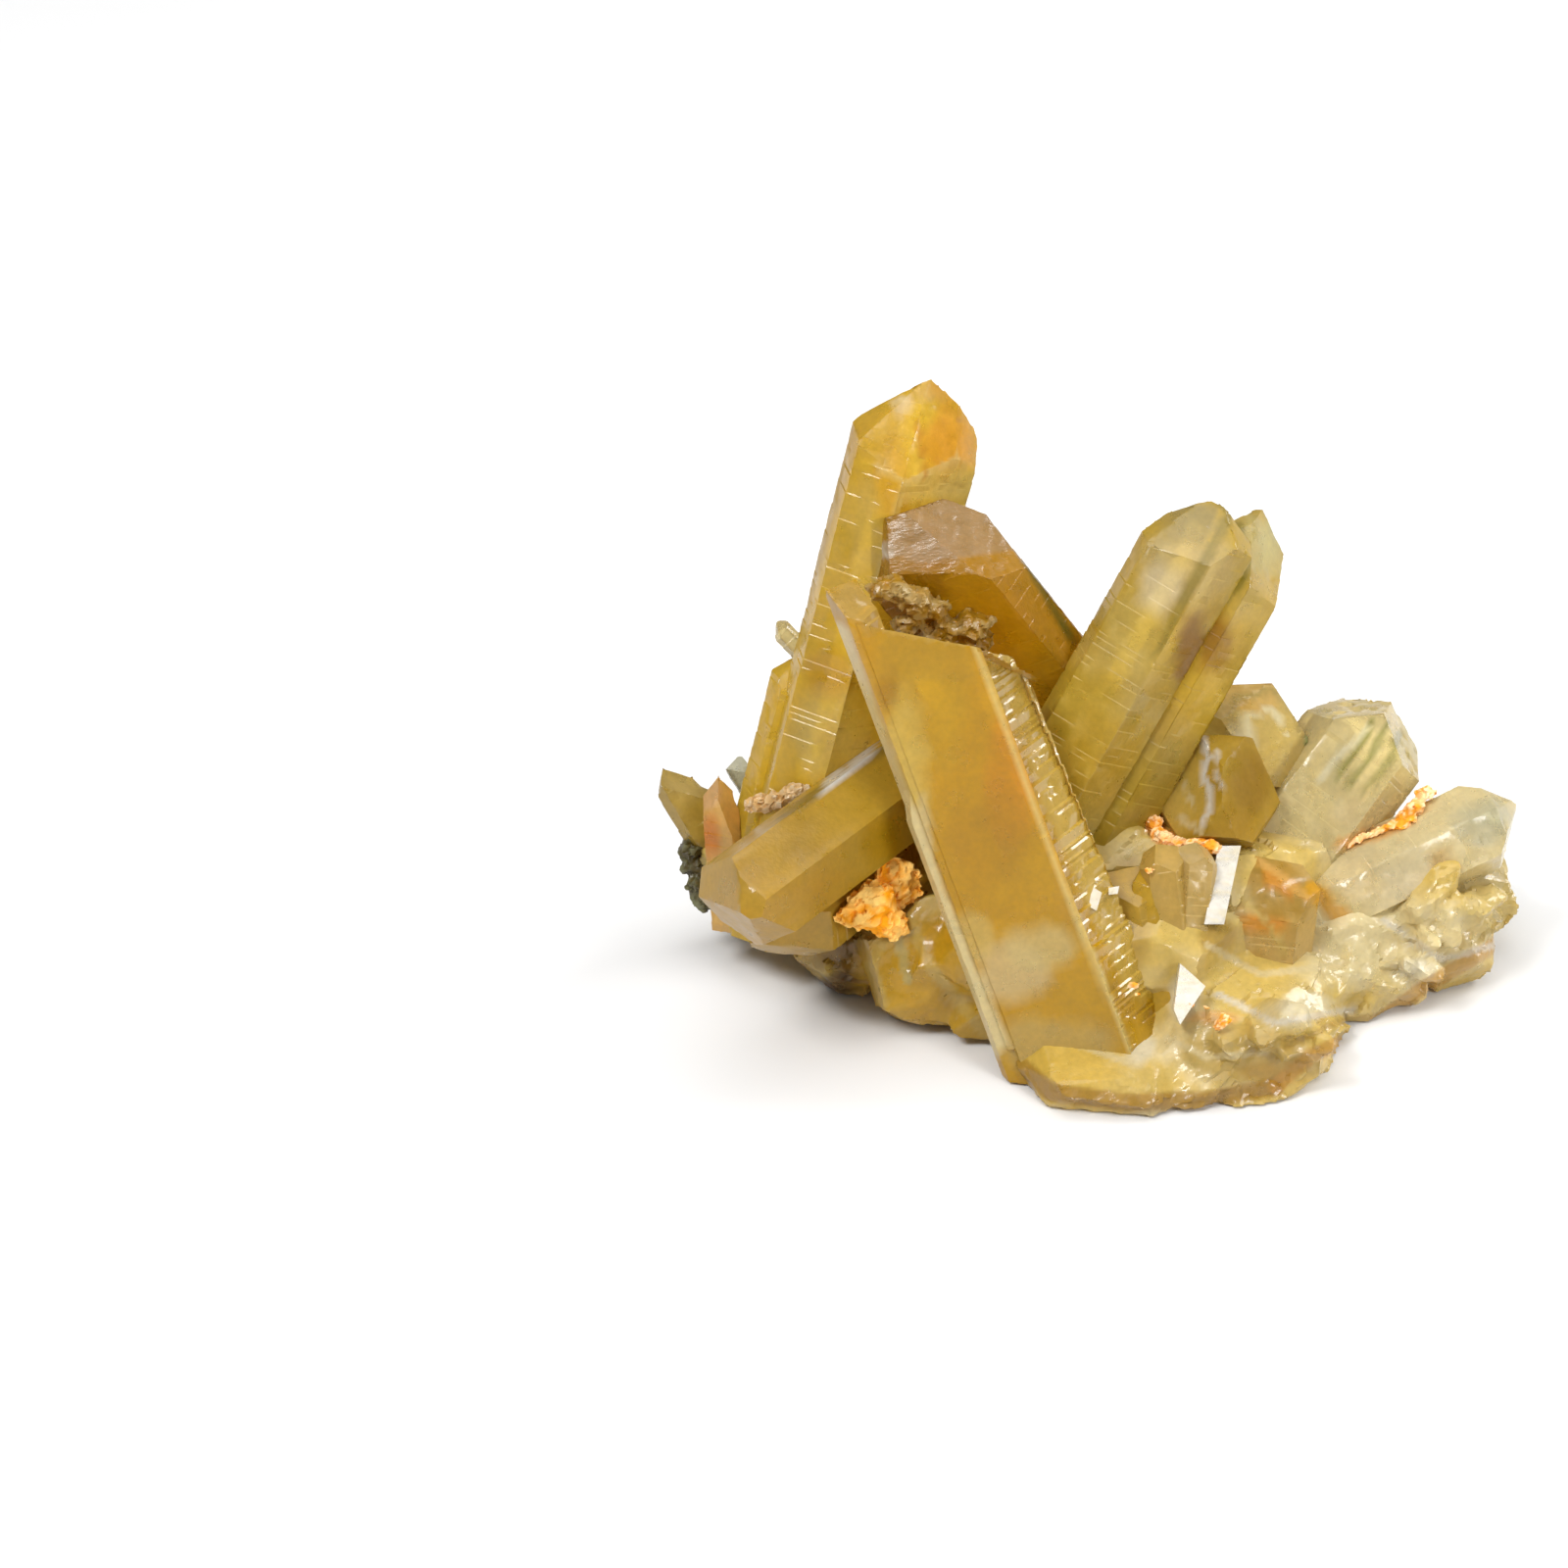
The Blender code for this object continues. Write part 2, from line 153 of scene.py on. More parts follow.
def crystal_planes(root, tip, turn, sides, tops, foot):
    """The planes of a crystal: its foot, its sides, its tops and the level that it stands on."""
    length, along, right, front = axis_frame(root, tip)
    root = Vector(root)
    planes = [(root - along * foot, -along, "foot"), (Vector(), Vector((0.0, 0.0, -1.0)), "foot")]
    for step, distance in enumerate(sides):
        angle = math.radians(turn + 60 * step)
        out = right * math.cos(angle) + front * math.sin(angle)
        planes.append((root + out * distance, out, "side"))
    for top_turn, lean, reach in tops:
        angle = math.radians(top_turn)
        slope = math.radians(lean)
        level = right * math.cos(angle) + front * math.sin(angle)
        planes.append((root + along * reach, level * math.cos(slope) + along * math.sin(slope), "top"))
    return planes


def body_from(planes, centre):
    """The closed body that lies inside all the planes."""
    body = bmesh.new()
    bmesh.ops.create_cube(body, size=BLOCK_SIZE)
    bmesh.ops.translate(body, verts=body.verts, vec=centre)
    for point, normal, _ in planes:
        cut(body, point, normal)
    bmesh.ops.dissolve_degenerate(body, dist=1e-4, edges=body.edges)
    return body


def taken_apart(body):
    """A body's vertices and outward faces as plain lists; the body itself is freed."""
    bmesh.ops.recalc_face_normals(body, faces=body.faces)
    places = [v.co[:] for v in body.verts]
    faces = [[v.index for v in f.verts] for f in body.faces]
    body.free()
    return places, faces


def gathered(parts):
    """Vertices and faces of several parts in one pair of lists."""
    places = []
    faces = []
    for more_places, more_faces in parts:
        faces += [[len(places) + corner for corner in face] for face in more_faces]
        places += more_places
    return places, faces


def ledge_heights(low, high, pitch, chance):
    """Heights at which the growth ledges of a crystal start."""
    heights = []
    height = low
    while height < high:
        height += pitch * chance.uniform(0.45, 1.5)
        heights.append(height)
    return heights


def moved_inward(places, planes, offsets):
    """Moves each vertex so that it lies on all its planes after they are shifted by their offsets.

    Also gives which planes each vertex lies on, and the planes' normals.
    """
    normals = np.array([normal[:] for _, normal, _ in planes])
    reach = np.array([point.dot(normal) for point, normal, _ in planes])
    distance = places @ normals.T - reach
    member = np.abs(distance) < ON_PLANE
    moved = places.copy()
    for index in range(len(places)):
        on = np.flatnonzero(member[index])
        if len(on) == 0:
            continue
        if len(on) == 1:
            moved[index] += normals[on[0]] * offsets[index, on[0]]
        else:
            shift = np.linalg.lstsq(normals[on], offsets[index, on], rcond=1e-3)[0]
            moved[index] += shift
    return moved, member, normals


# Sizes of the growth marks, in millimetres along the side, from ledge to ledge and from side to side
BREAK_SIZE = (1.6, 1.0, 1.0)
DASH_SIZE = (1.3, 0.3, 1.0)
HOLE_SIZE = (0.9, 0.55, 1.0)
CHIP_SIZE = 1.8
WAVE_SIZE = 5.0
WAVE_DEPTH = 0.05
TERRACES = 7.0

# Heights on the front crystal at which its right sides step inwards
WIDE_STEP = 0.18
WIDE_LEVELS = np.array([31.0 * (1.0 - level / 9) for level in range(8, -1, -1)])


def cut_at_ledges(body, root, directions, values, chance):
    """Cuts a crystal at its ledges and into a loose grid. Gives the ledges' heights and its two ends."""
    along, right, front = directions
    corners = np.array([v.co[:] for v in body.verts]) - np.array(root)
    heights = corners @ np.array(along)
    ledges = ledge_heights(heights.min(), heights.max(), values["pitch"], chance)
    for height in ledges:
        for end in (height, height + values["riser"]):
            cut(body, root + along * end, along, keep_both=True)
    for direction in (right, front):
        reach = corners @ np.array(direction)
        place = reach.min() + 0.4 * values["grid"]
        while place < reach.max():
            cut(body, root + direction * place, direction, keep_both=True)
            place += values["grid"] * chance.uniform(0.75, 1.25)
    bmesh.ops.triangulate(body, faces=body.faces)
    return ledges, heights.min(), heights.max()


def ledge_levels(height, ledges, low, high, riser):
    """For each vertex: its ledge's number, where that ledge starts, and how far up it the vertex is."""
    level = np.searchsorted(np.array(ledges) + 0.5 * riser, height)
    start = np.array([low] + ledges)[level]
    end = np.array(ledges + [high + 1.0])[level]
    climb = ramp(height, start + riser, np.maximum(end, start + riser + 0.01))
    return level, start, climb


def side_depth(sideways, ledge, steps, side, seed, values, chance):
    """How far one side of a crystal lies in: a step at each ledge, with broken stretches and dashes."""
    level, ledge_start, climb = ledge
    walk = [0.0]
    for _ in range(steps):
        stride = chance.choice((-1, -1, 1, 0)) * values["step"]
        walk.append(min(0.0, max(-values["taper"], walk[-1] + stride)))
    lively = values["lively"].get(side - 2, 1.0)
    depth = np.array(walk)[level] * min(lively, 1.0)
    spot = np.stack([sideways, level * 3.7, np.full(len(sideways), float(side))], axis=1)
    broken = value_noise(spot, BREAK_SIZE, seed)
    depth -= values["step"] * values["broken"] * lively * np.clip((broken - 0.45) * 5.0, 0.0, 1.0)
    dashes = value_noise(spot, DASH_SIZE, seed + 7)
    depth -= values["saw"] * lively * (1.0 - climb) * np.clip((dashes - 0.3) * 3.0, 0.0, 1.0)
    if side - 2 in values["widening"]:
        depth -= WIDE_STEP * np.searchsorted(WIDE_LEVELS, ledge_start)
    return depth


def top_depth(sideways, height, seed, values):
    """How far a top face of a crystal lies in: low terraces with pits."""
    spot = np.stack([sideways, height, np.full(len(height), 0.37)], axis=1)
    terrace = rough_noise(spot, values["terrace"], 2, seed)
    depth = -values["pits"] * np.floor(terrace * TERRACES) / TERRACES
    holes = value_noise(spot, HOLE_SIZE, seed + 3)
    return depth - values["pits"] * np.clip((holes - 0.66) * 9.0, 0.0, 1.0)


def edge_wear(places, member, normals, values):
    """How far the vertices on the edges of a crystal lie back, more where the edges are chipped."""
    shared = member.sum(axis=1) >= 2
    rim = member.astype(float) @ normals
    rim /= np.maximum(np.linalg.norm(rim, axis=1, keepdims=True), 1e-6)
    chips = np.clip(rough_noise(places, CHIP_SIZE, 2, values["seed"] + 5) - 0.42, 0.0, 1.0)
    return rim * (shared * (values["wear"] * (0.25 + 3.0 * chips)))[:, None]


def fine_crystal(root, tip, turn, sides, tops, foot, values):
    """A crystal whose faces carry growth ledges, shallow pits and worn edges, as vertices and faces."""
    chance = random.Random(values["seed"])
    _, along, right, front = axis_frame(root, tip)
    root = Vector(root)
    planes = crystal_planes(root, tip, turn, sides, tops, foot)
    body = body_from(planes, root)
    ledges, low, high = cut_at_ledges(body, root, (along, right, front), values, chance)
    places, faces = taken_apart(body)
    places = np.array(places)
    local = places - np.array(root)
    height = local @ np.array(along)
    ledge = ledge_levels(height, ledges, low, high, values["riser"])
    offsets = np.zeros((len(places), len(planes)))
    for index, (_, normal, kind) in enumerate(planes):
        if kind == "foot":
            continue
        sideways = local @ np.array(along.cross(normal))
        seed = values["seed"] * 31 + index
        if kind == "side":
            depth = side_depth(sideways, ledge, len(ledges) + 1, index, seed, values, chance)
        else:
            depth = top_depth(sideways, height, seed, values)
        offsets[:, index] = depth - WAVE_DEPTH * value_noise(places, WAVE_SIZE, seed + 1)
    moved, member, normals = moved_inward(places, planes, offsets)
    moved -= edge_wear(places, member, normals, values)
    return moved, outward(moved, faces)


def outward(places, faces):
    """The same triangles, turned so that they all face out."""
    corners = places[np.array(faces)]
    volume = np.einsum("ij,ij->i", corners[:, 0], np.cross(corners[:, 1], corners[:, 2])).sum()
    return faces if volume > 0.0 else [face[::-1] for face in faces]


def united(shapes):
    """Joins closed bodies, each as vertices and triangles, into one skin."""
    drafts = []
    for places, faces in shapes:
        mesh = bpy.data.meshes.new("union_draft")
        mesh.from_pydata(places.tolist(), [], faces)
        drafts.append(placed("union_draft", mesh))
    for other in drafts[1:]:
        join = drafts[0].modifiers.new("join", "BOOLEAN")
        join.operation = "UNION"
        join.solver = "MANIFOLD"
        join.object = other
    evaluated = drafts[0].evaluated_get(bpy.context.evaluated_depsgraph_get()).to_mesh()
    evaluated.calc_loop_triangles()
    points = vectors_of(evaluated.vertices, "co").astype(float)
    faces = [list(triangle.vertices) for triangle in evaluated.loop_triangles]
    dropped(drafts)
    return points, faces


def plain_values(root, tip, radius, seed):
    """Turn, sides and tops of a smaller crystal of the regular habit, each one slightly uneven."""
    chance = random.Random(seed)
    length = axis_frame(root, tip)[0]
    turn = chance.uniform(0.0, 60.0)
    sides = [radius * chance.uniform(0.78, 1.08) for _ in range(6)]
    tops = []
    for step in range(6):
        reach = length + radius * chance.choice((-0.25, -0.05, 0.15, 0.45))
        tops.append((turn + 60 * step, RHOMB_LEAN, reach))
    return turn, sides, tops


def lump_planes(centre, radii, seed, faces):
    """Planes of a broken lump: they touch a rough ellipsoid."""
    chance = random.Random(seed)
    middle = Vector(centre)
    golden = math.pi * (3.0 - math.sqrt(5.0))
    planes = [(Vector(), Vector((0.0, 0.0, -1.0)), "foot")]
    for index in range(faces):
        height = 1.0 - 2.0 * (index + 0.5) / faces
        level = math.sqrt(1.0 - height * height)
        angle = golden * index + chance.uniform(-0.35, 0.35)
        out = Vector((level * math.cos(angle), level * math.sin(angle), height))
        out = (out + Vector([chance.uniform(-0.22, 0.22) for _ in range(3)])).normalized()
        touch = Vector([out[i] * radii[i] for i in range(3)])
        reach = touch.length * chance.uniform(0.86, 1.04)
        spread = Vector([out[i] / radii[i] for i in range(3)]).normalized()
        planes.append((middle + touch.normalized() * reach, spread, "side"))
    return planes


# Colours are given as they show on a screen: red, green and blue from 0 to 255

def linear(colour):
    """The shader's values for a colour that is given as it shows on a screen, from 0 to 255."""
    parts = [part / 255.0 for part in colour]
    return np.array([p / 12.92 if p <= 0.04045 else ((p + 0.055) / 1.055) ** 2.4 for p in parts])


DEEP_AMBER = (210, 160, 4)
DARK_AMBER = (184, 132, 8)
GOLD = (208, 166, 44)
KHAKI = (206, 171, 54)
PALE = (230, 208, 142)
CREAM = (232, 214, 162)
SMOKE = (150, 108, 24)
ORANGE = (240, 140, 22)
GREEN_SHADE = (126, 118, 34)
WHITE = (236, 232, 220)


def blend_in(colour, other, amount):
    """Moves each colour towards another one, given as it shows, by its own amount."""
    return colour + (linear(other) - colour) * np.clip(amount, 0.0, 1.0)[:, None]


def seen_place(places):
    """Where a place shows in the front view: millimetres right and up on the plane through the middle."""
    grown = CAMERA_DISTANCE / (CAMERA_DISTANCE - places @ np.array(FRONT))
    right = AIM_RIGHT + (places[:, 0] - AIM_RIGHT) * grown
    return right, AIM_UP + (places @ np.array(UP_IN_VIEW) - AIM_UP) * grown


def place_from_view(right, up, depth):
    """The place that shows at a spot of the front view, at a depth towards the camera."""
    shrunk = (CAMERA_DISTANCE - depth) / CAMERA_DISTANCE
    across = Vector((AIM_RIGHT + (right - AIM_RIGHT) * shrunk, 0.0, 0.0))
    return across + UP_IN_VIEW * (AIM_UP + (up - AIM_UP) * shrunk) + FRONT * depth


# How much of a colour is left in its darker zones
DARKER = 0.62


def cloudy(colour, places, values):
    """Adds the soft clouds and darker zones that every crystal has."""
    slow = rough_noise(places, values["cloud"], 3, values["seed"] + 50)
    colour = blend_in(colour, values["cloud_colour"], ramp(slow, 0.5, 0.8) * values["clouds"])
    dark = rough_noise(places, values["cloud"] * 0.7, 3, values["seed"] + 90)
    amount = ramp(dark, 0.52, 0.78) * values["darks"]
    return colour + (colour * DARKER - colour) * np.clip(amount, 0.0, 1.0)[:, None]


def near(places, right, up, wide, high):
    """How near a place is to a spot in the front view, from 1 at its middle to 0 at its rim."""
    x, v = seen_place(places)
    return np.clip(1.0 - ((x - right) / wide) ** 2 - ((v - up) / high) ** 2, 0.0, 1.0)


def inside(places, corners, soft=0.25):
    """1 for places inside a convex outline of the front view, 0 outside, blended at its edge."""
    x, v = seen_place(places)
    turn = sum(x0 * v1 - x1 * v0 for (x0, v0), (x1, v1) in zip(corners, corners[1:] + corners[:1]))
    amount = np.ones(len(places))
    for (x0, v0), (x1, v1) in zip(corners, corners[1:] + corners[:1]):
        across = ((x1 - x0) * (v - v0) - (v1 - v0) * (x - x0)) / math.hypot(x1 - x0, v1 - v0)
        amount = np.minimum(amount, ramp(across * math.copysign(1.0, turn), -soft, soft))
    return amount


def near_line(places, points, width):
    """How near a place is to a bent line in the front view, from 1 on it to 0 at its width."""
    x, v = seen_place(places)
    nearest = np.full(len(places), 1e9)
    for (x0, v0), (x1, v1) in zip(points, points[1:]):
        span = (x1 - x0) ** 2 + (v1 - v0) ** 2
        share = np.clip(((x - x0) * (x1 - x0) + (v - v0) * (v1 - v0)) / span, 0.0, 1.0)
        distance = np.hypot(x - x0 - share * (x1 - x0), v - v0 - share * (v1 - v0))
        nearest = np.minimum(nearest, distance)
    return np.clip(1.0 - (nearest / width) ** 2, 0.0, 1.0)


# Making objects

def placed(name, data):
    """A new object in the scene that shows this mesh, camera or light."""
    item = bpy.data.objects.new(name, data)
    bpy.context.scene.collection.objects.link(item)
    return item


def dropped(drafts):
    """Removes objects that only served to work something out."""
    for draft in drafts:
        mesh = draft.data
        bpy.data.objects.remove(draft)
        bpy.data.meshes.remove(mesh)


def vectors_of(items, what):
    """One vector for each vertex or face of a mesh."""
    values = np.empty(len(items) * 3, np.float32)
    items.foreach_get(what, values)
    return values.reshape(-1, 3)


# How squarely a face must look along the given direction to be glossy, from 0 to 1
GLOSSY_FROM = 0.6


def new_piece(name, places, faces, colours, material, crisp=25.0, glossy=()):
    """Makes a shown piece from vertices in millimetres, faces and one colour a vertex.

    A second, glossier material and a direction may be given for the faces turned that way.
    """
    mesh = bpy.data.meshes.new(name)
    scaled = (np.asarray(places) - np.array(CENTRE)) * MM
    scaled[:, 2] = np.maximum(scaled[:, 2], 0.0)
    mesh.from_pydata(scaled.tolist(), [], faces)
    attribute = mesh.color_attributes.new("tint", "FLOAT_COLOR", "POINT")
    rgba = np.ones((len(scaled), 4))
    rgba[:, :3] = np.clip(colours, 0.0, 1.0)
    attribute.data.foreach_set("color", rgba.astype(np.float32).ravel())
    mesh.shade_smooth()
    mesh.set_sharp_from_angle(angle=math.radians(crisp))
    mesh.materials.append(material)
    if glossy:
        shiny, direction = glossy
        mesh.materials.append(shiny)
        chosen = vectors_of(mesh.polygons, "normal") @ np.array(direction) > GLOSSY_FROM
        mesh.polygons.foreach_set("material_index", chosen.astype(np.int32))
    mesh.validate()
    piece = placed(name, mesh)
    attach(piece, "root")
    return piece


def nodes_of(material):
    """A material's node tree and its main shader."""
    material.use_nodes = True
    return material.node_tree, material.node_tree.nodes["Principled BSDF"]


def scaled_range(tree, source, low, high, new_low, new_high):
    """A node that spreads a value from one range to another."""
    spread = tree.nodes.new("ShaderNodeMapRange")
    spread.inputs["From Min"].default_value = low
    spread.inputs["From Max"].default_value = high
    spread.inputs["To Min"].default_value = new_low
    spread.inputs["To Max"].default_value = new_high
    tree.links.new(source, spread.inputs["Value"])
    return spread.outputs["Result"]


def noise_node(tree, coordinate, scale, detail):
    """The value of a noise texture of the given fineness."""
    noise = tree.nodes.new("ShaderNodeTexNoise")
    noise.inputs["Scale"].default_value = scale
    noise.inputs["Detail"].default_value = detail
    tree.links.new(coordinate, noise.inputs["Vector"])
    return noise.outputs["Fac"]


QUARTZ_IOR = 1.54
SPECULAR_LEVEL = 0.08
COAT_ROUGHNESS = 0.06
# How many noise features a metre has, and how high the finest relief is in metres
MOTTLE_SCALE = 420.0
GRAIN_SCALE = 1900.0
RELIEF_SCALE = 2600.0
RELIEF_HEIGHT = 0.0001
# Each material: transmission, absorption colour and density, bump, roughness from and to, coat
MATERIALS = {
    "amber_quartz": (0.55, (0.96, 0.82, 0.2), 110.0, 0.2, (0.26, 0.4), 0.14),
    "glossy_quartz": (0.55, (0.96, 0.82, 0.2), 110.0, 0.2, (0.2, 0.34), 0.9),
    "pitted_quartz": (0.55, (0.96, 0.82, 0.2), 110.0, 0.6, (0.26, 0.4), 0.14),
    "pale_quartz": (0.6, (0.95, 0.91, 0.62), 60.0, 0.25, (0.22, 0.4), 0.3),
    "broken_quartz": (0.52, (0.95, 0.9, 0.58), 50.0, 0.3, (0.26, 0.46), 0.25),
    # Material of the plates whose white colour is a painted reflection
    "reflection_plate_quartz": (0.5, (0.98, 0.97, 0.93), 20.0, 0.4, (0.2, 0.4), 0.8),
    "grainy_quartz": (0.5, (0.96, 0.86, 0.6), 40.0, 0.5, (0.3, 0.6), 0.15),
    "iron_stained_crust": (0.0, (), 0.0, 0.5, (0.5, 0.8), 0.0),
}


def mottled_tint(tree, coordinate, mottle):
    """The painted colour with two sizes of faint mottling."""
    tint = tree.nodes.new("ShaderNodeAttribute")
    tint.attribute_name = "tint"
    grain = noise_node(tree, coordinate, GRAIN_SCALE, 2.0)
    shade = tree.nodes.new("ShaderNodeMath")
    shade.operation = "MULTIPLY"
    tree.links.new(scaled_range(tree, mottle, 0.3, 0.7, 0.93, 1.05), shade.inputs[0])
    tree.links.new(scaled_range(tree, grain, 0.3, 0.7, 0.92, 1.06), shade.inputs[1])
    coloured = tree.nodes.new("ShaderNodeVectorMath")
    coloured.operation = "SCALE"
    tree.links.new(tint.outputs["Color"], coloured.inputs[0])
    tree.links.new(shade.outputs["Value"], coloured.inputs["Scale"])
    return coloured.outputs["Vector"]


def skin_relief(tree, coordinate, strength, pitted):
    """The finest unevenness of the skin; on a pitted crystal it is drawn out into rows."""
    relief = tree.nodes.new("ShaderNodeBump")
    relief.inputs["Strength"].default_value = strength
    relief.inputs["Distance"].default_value = RELIEF_HEIGHT
    if pitted:
        stretch = tree.nodes.new("ShaderNodeMapping")
        stretch.inputs["Rotation"].default_value = (0.0, 0.0, 0.5)
        stretch.inputs["Scale"].default_value = (0.5, 2.0, 1.0)
        tree.links.new(coordinate, stretch.inputs["Vector"])
        coordinate = stretch.outputs["Vector"]
    fineness = 5.0 if pitted else 1.5
    tree.links.new(noise_node(tree, coordinate, RELIEF_SCALE, fineness), relief.inputs["Height"])
    return relief.outputs["Normal"]


def quartz_material(name, transmission, absorb, density, bump, roughness, coat):
    """Quartz: tinted and cloudy by its painted colour, see-through, with a glossy skin."""
    material = bpy.data.materials.new(name)
    tree, shader = nodes_of(material)
    coordinate = tree.nodes.new("ShaderNodeTexCoord").outputs["Object"]
    mottle = noise_node(tree, coordinate, MOTTLE_SCALE, 6.0)
    tree.links.new(mottled_tint(tree, coordinate, mottle), shader.inputs["Base Color"])
    tree.links.new(scaled_range(tree, mottle, 0.35, 0.65, *roughness), shader.inputs["Roughness"])
    relief = skin_relief(tree, coordinate, bump, name == "pitted_quartz")
    tree.links.new(relief, shader.inputs["Normal"])
    tree.links.new(relief, shader.inputs["Coat Normal"])
    constants = {
        "IOR": QUARTZ_IOR, "Specular IOR Level": SPECULAR_LEVEL, "Transmission Weight": transmission,
        "Coat Weight": coat, "Coat Roughness": COAT_ROUGHNESS, "Coat IOR": QUARTZ_IOR}
    for socket, value in constants.items():
        shader.inputs[socket].default_value = value
    if transmission:
        volume = tree.nodes.new("ShaderNodeVolumeAbsorption")
        volume.inputs["Color"].default_value = (*absorb, 1.0)
        volume.inputs["Density"].default_value = density
        tree.links.new(volume.outputs["Volume"], tree.nodes["Material Output"].inputs["Volume"])
    return material


# The crystals: root, tip, turn, distances of the six sides, top faces, foot

CRYSTALS = {
    "tall_back": ((-28.3, 2, 16.1), (-16.7, 8, 64.1), 45, (2.8, 4, 5.9, 5.6, 5.5, 7.1),
                  ((91, 33.8, 46), (57, 28.6, 45.9), (31, 24.9, 49.8), (157, 43.6, 48.5),
                   (225, 38, 50.7), (285, 38, 51.4), (345, 45, 51.4)), 12),
    "middle_stub": ((3.2, 8, 18.4), (-19.2, 0, 52.9), 5, (6.2, 5.8, 3.1, 7.6, 7, 6),
                    ((33, 35.9, 40), (97, 44.6, 39.2), (312, 53, 42.4), (346, 25, 49),
                     (190, 40, 44)), 8),
    "right_pair_left": ((-7.2, -3, 19.1), (9.2, 3, 50), 40, (5, 3.9, 4.5, 3.4, 5, 5.8),
                        ((114, 39.6, 37.8), (112, 42.8, 37.2), (160, 38.2, 38.6), (220, 38.2, 39.6),
                         (280, 38.2, 40.2), (20, 60, 39.2)), 12),
    "right_pair_right": ((0.4, 0, 17.3), (15.7, 6, 46.8), 40, (3.7, 4.35, 5, 3.2, 5, 4.2),
                         ((99, 35.8, 36.8), (27, 39.8, 34.2), (28, 25.5, 38), (220, 38.2, 40),
                          (280, 38.2, 39), (160, 50, 37)), 16),
    "left_slanted": ((-18.3, 4, 21.8), (-35.1, -14, 18), 8, (4.95, 7.5, 7.5, 4.7, 4, 3.1),
                     ((180, 40.5, 32), (233, 63, 27.7), (68, 50, 34.5), (0, 60, 29.5)), 8),
    "blunt_front": ((12, 8, 13.8), (12.2, -3.5, 25.3), 30, (5.7, 5.2, 5.7, 5.5, 5.6, 5.7),
                    ((176, 47, 15.6), (4, 47, 15.9), (90, 62, 16.6), (270, 62, 16.8)), 6),
    "pale_blunt": ((15.7, 17, 16.1), (15.6, 4, 26.6), 30, (5.6, 5, 5.6, 5.6, 5.8, 5.4),
                   ((30, 54, 16.2), (90, 60, 16.4), (150, 50, 17), (270, 55, 16.8),
                    (330, 68, 15)), 8),
    "pale_broken": ((20.6, 5, 14.3), (29.1, 11, 24.1), 35, (6.4, 4.6, 5.4, 6, 5.5, 6),
                    ((160, 44, 16.8), (35, 52, 16.8), (80, 70, 17.4), (280, 60, 17)), 8),
    "pale_leaf": ((21.8, 8, 15), (25.6, 10.5, 26.2), 20, (2.2, 2.4, 2, 2.4, 2.4, 2.2),
                  ((140, 50, 10.6), (320, 50, 10.8), (60, 60, 11)), 4),
    "pale_right": ((25.3, 0, 10.4), (42.3, 5, 16.7), 20, (4.4, 4.4, 4, 4.4, 4.6, 4.4),
                   ((20, 48, 19.6), (80, 55, 20), (200, 40, 20.4), (140, 45, 21),
                    (320, 45, 21)), 8),
    "amber_block": ((15.7, -6.4, 1), (16.9, -6, 16.4), 32, (5.2, 4.2, 5.3, 4.6, 4.6, 4.6),
                    ((32, 75, 15.8), (92, 30, 19.5), (152, 50, 16.4), (272, 45, 18)), 4),
    "front_prism_a": ((7.9, -12.6, 8.1), (5.9, -7.8, 20.7), 35, (2.2, 1.8, 2.2, 2, 2, 2.2),
                      ((60, 45, 13.2), (150, 42, 13.8), (270, 45, 14)), 8),
    "front_prism_b": ((9.2, -11.4, 10.9), (9.8, -7.3, 20.1), 20, (1.9, 1.7, 1.9, 1.9, 1.9, 1.9),
                      ((20, 45, 10.4), (110, 42, 10.6), (250, 45, 10.8)), 8),
    "front_prism_c": ((6.4, -13.6, 8.1), (4.3, -8.6, 18.1), 50, (1.6, 1.6, 1.6, 1.6, 1.6, 1.6),
                      ((60, 45, 11.4), (180, 42, 11.8)), 8),
    "amber_leaf": ((5, -12.2, 6.9), (1.2, -5.2, 26.4), 60, (2.7, 2.4, 2.8, 2.7, 2.6, 2.8),
                   ((90, 40, 12), (270, 40, 12.4)), 8),
    "olive_flake": ((-38.2, 8, 11.6), (-42.6, 8, 20.2), 25, (2.2, 1.6, 2.4, 2.4, 1.6, 2.2),
                    ((20, 38, 8), (200, 38, 11)), 6),
    "orange_flake": ((-36.9, 2.6, 10), (-37.7, 4.6, 20.8), 65, (2.6, 1.4, 1.9, 2.6, 1.4, 1.9),
                     ((35, 20, 11.4), (155, 24, 11.4), (275, 22, 11.8)), 5),
    "grey_flake": ((-33, 9, 14.6), (-35.9, 9, 19.8), 50, (1.2, 0.9, 1.2, 1.2, 0.9, 1.2),
                   ((60, 45, 6.6), (240, 45, 6.8)), 6),
}

# The lower crystal grown along the left of the tall one
SHOULDER = ((-33.9, 5, 16.7), (-29.9, 7, 33.4), 30, (2.6, 2.5, 1.9, 1.9, 2.6, 2.6),
            ((30, 38.2, 18.5), (90, 38.2, 17.5), (150, 48, 17), (210, 38.2, 18), (270, 38.2, 19)), 8)

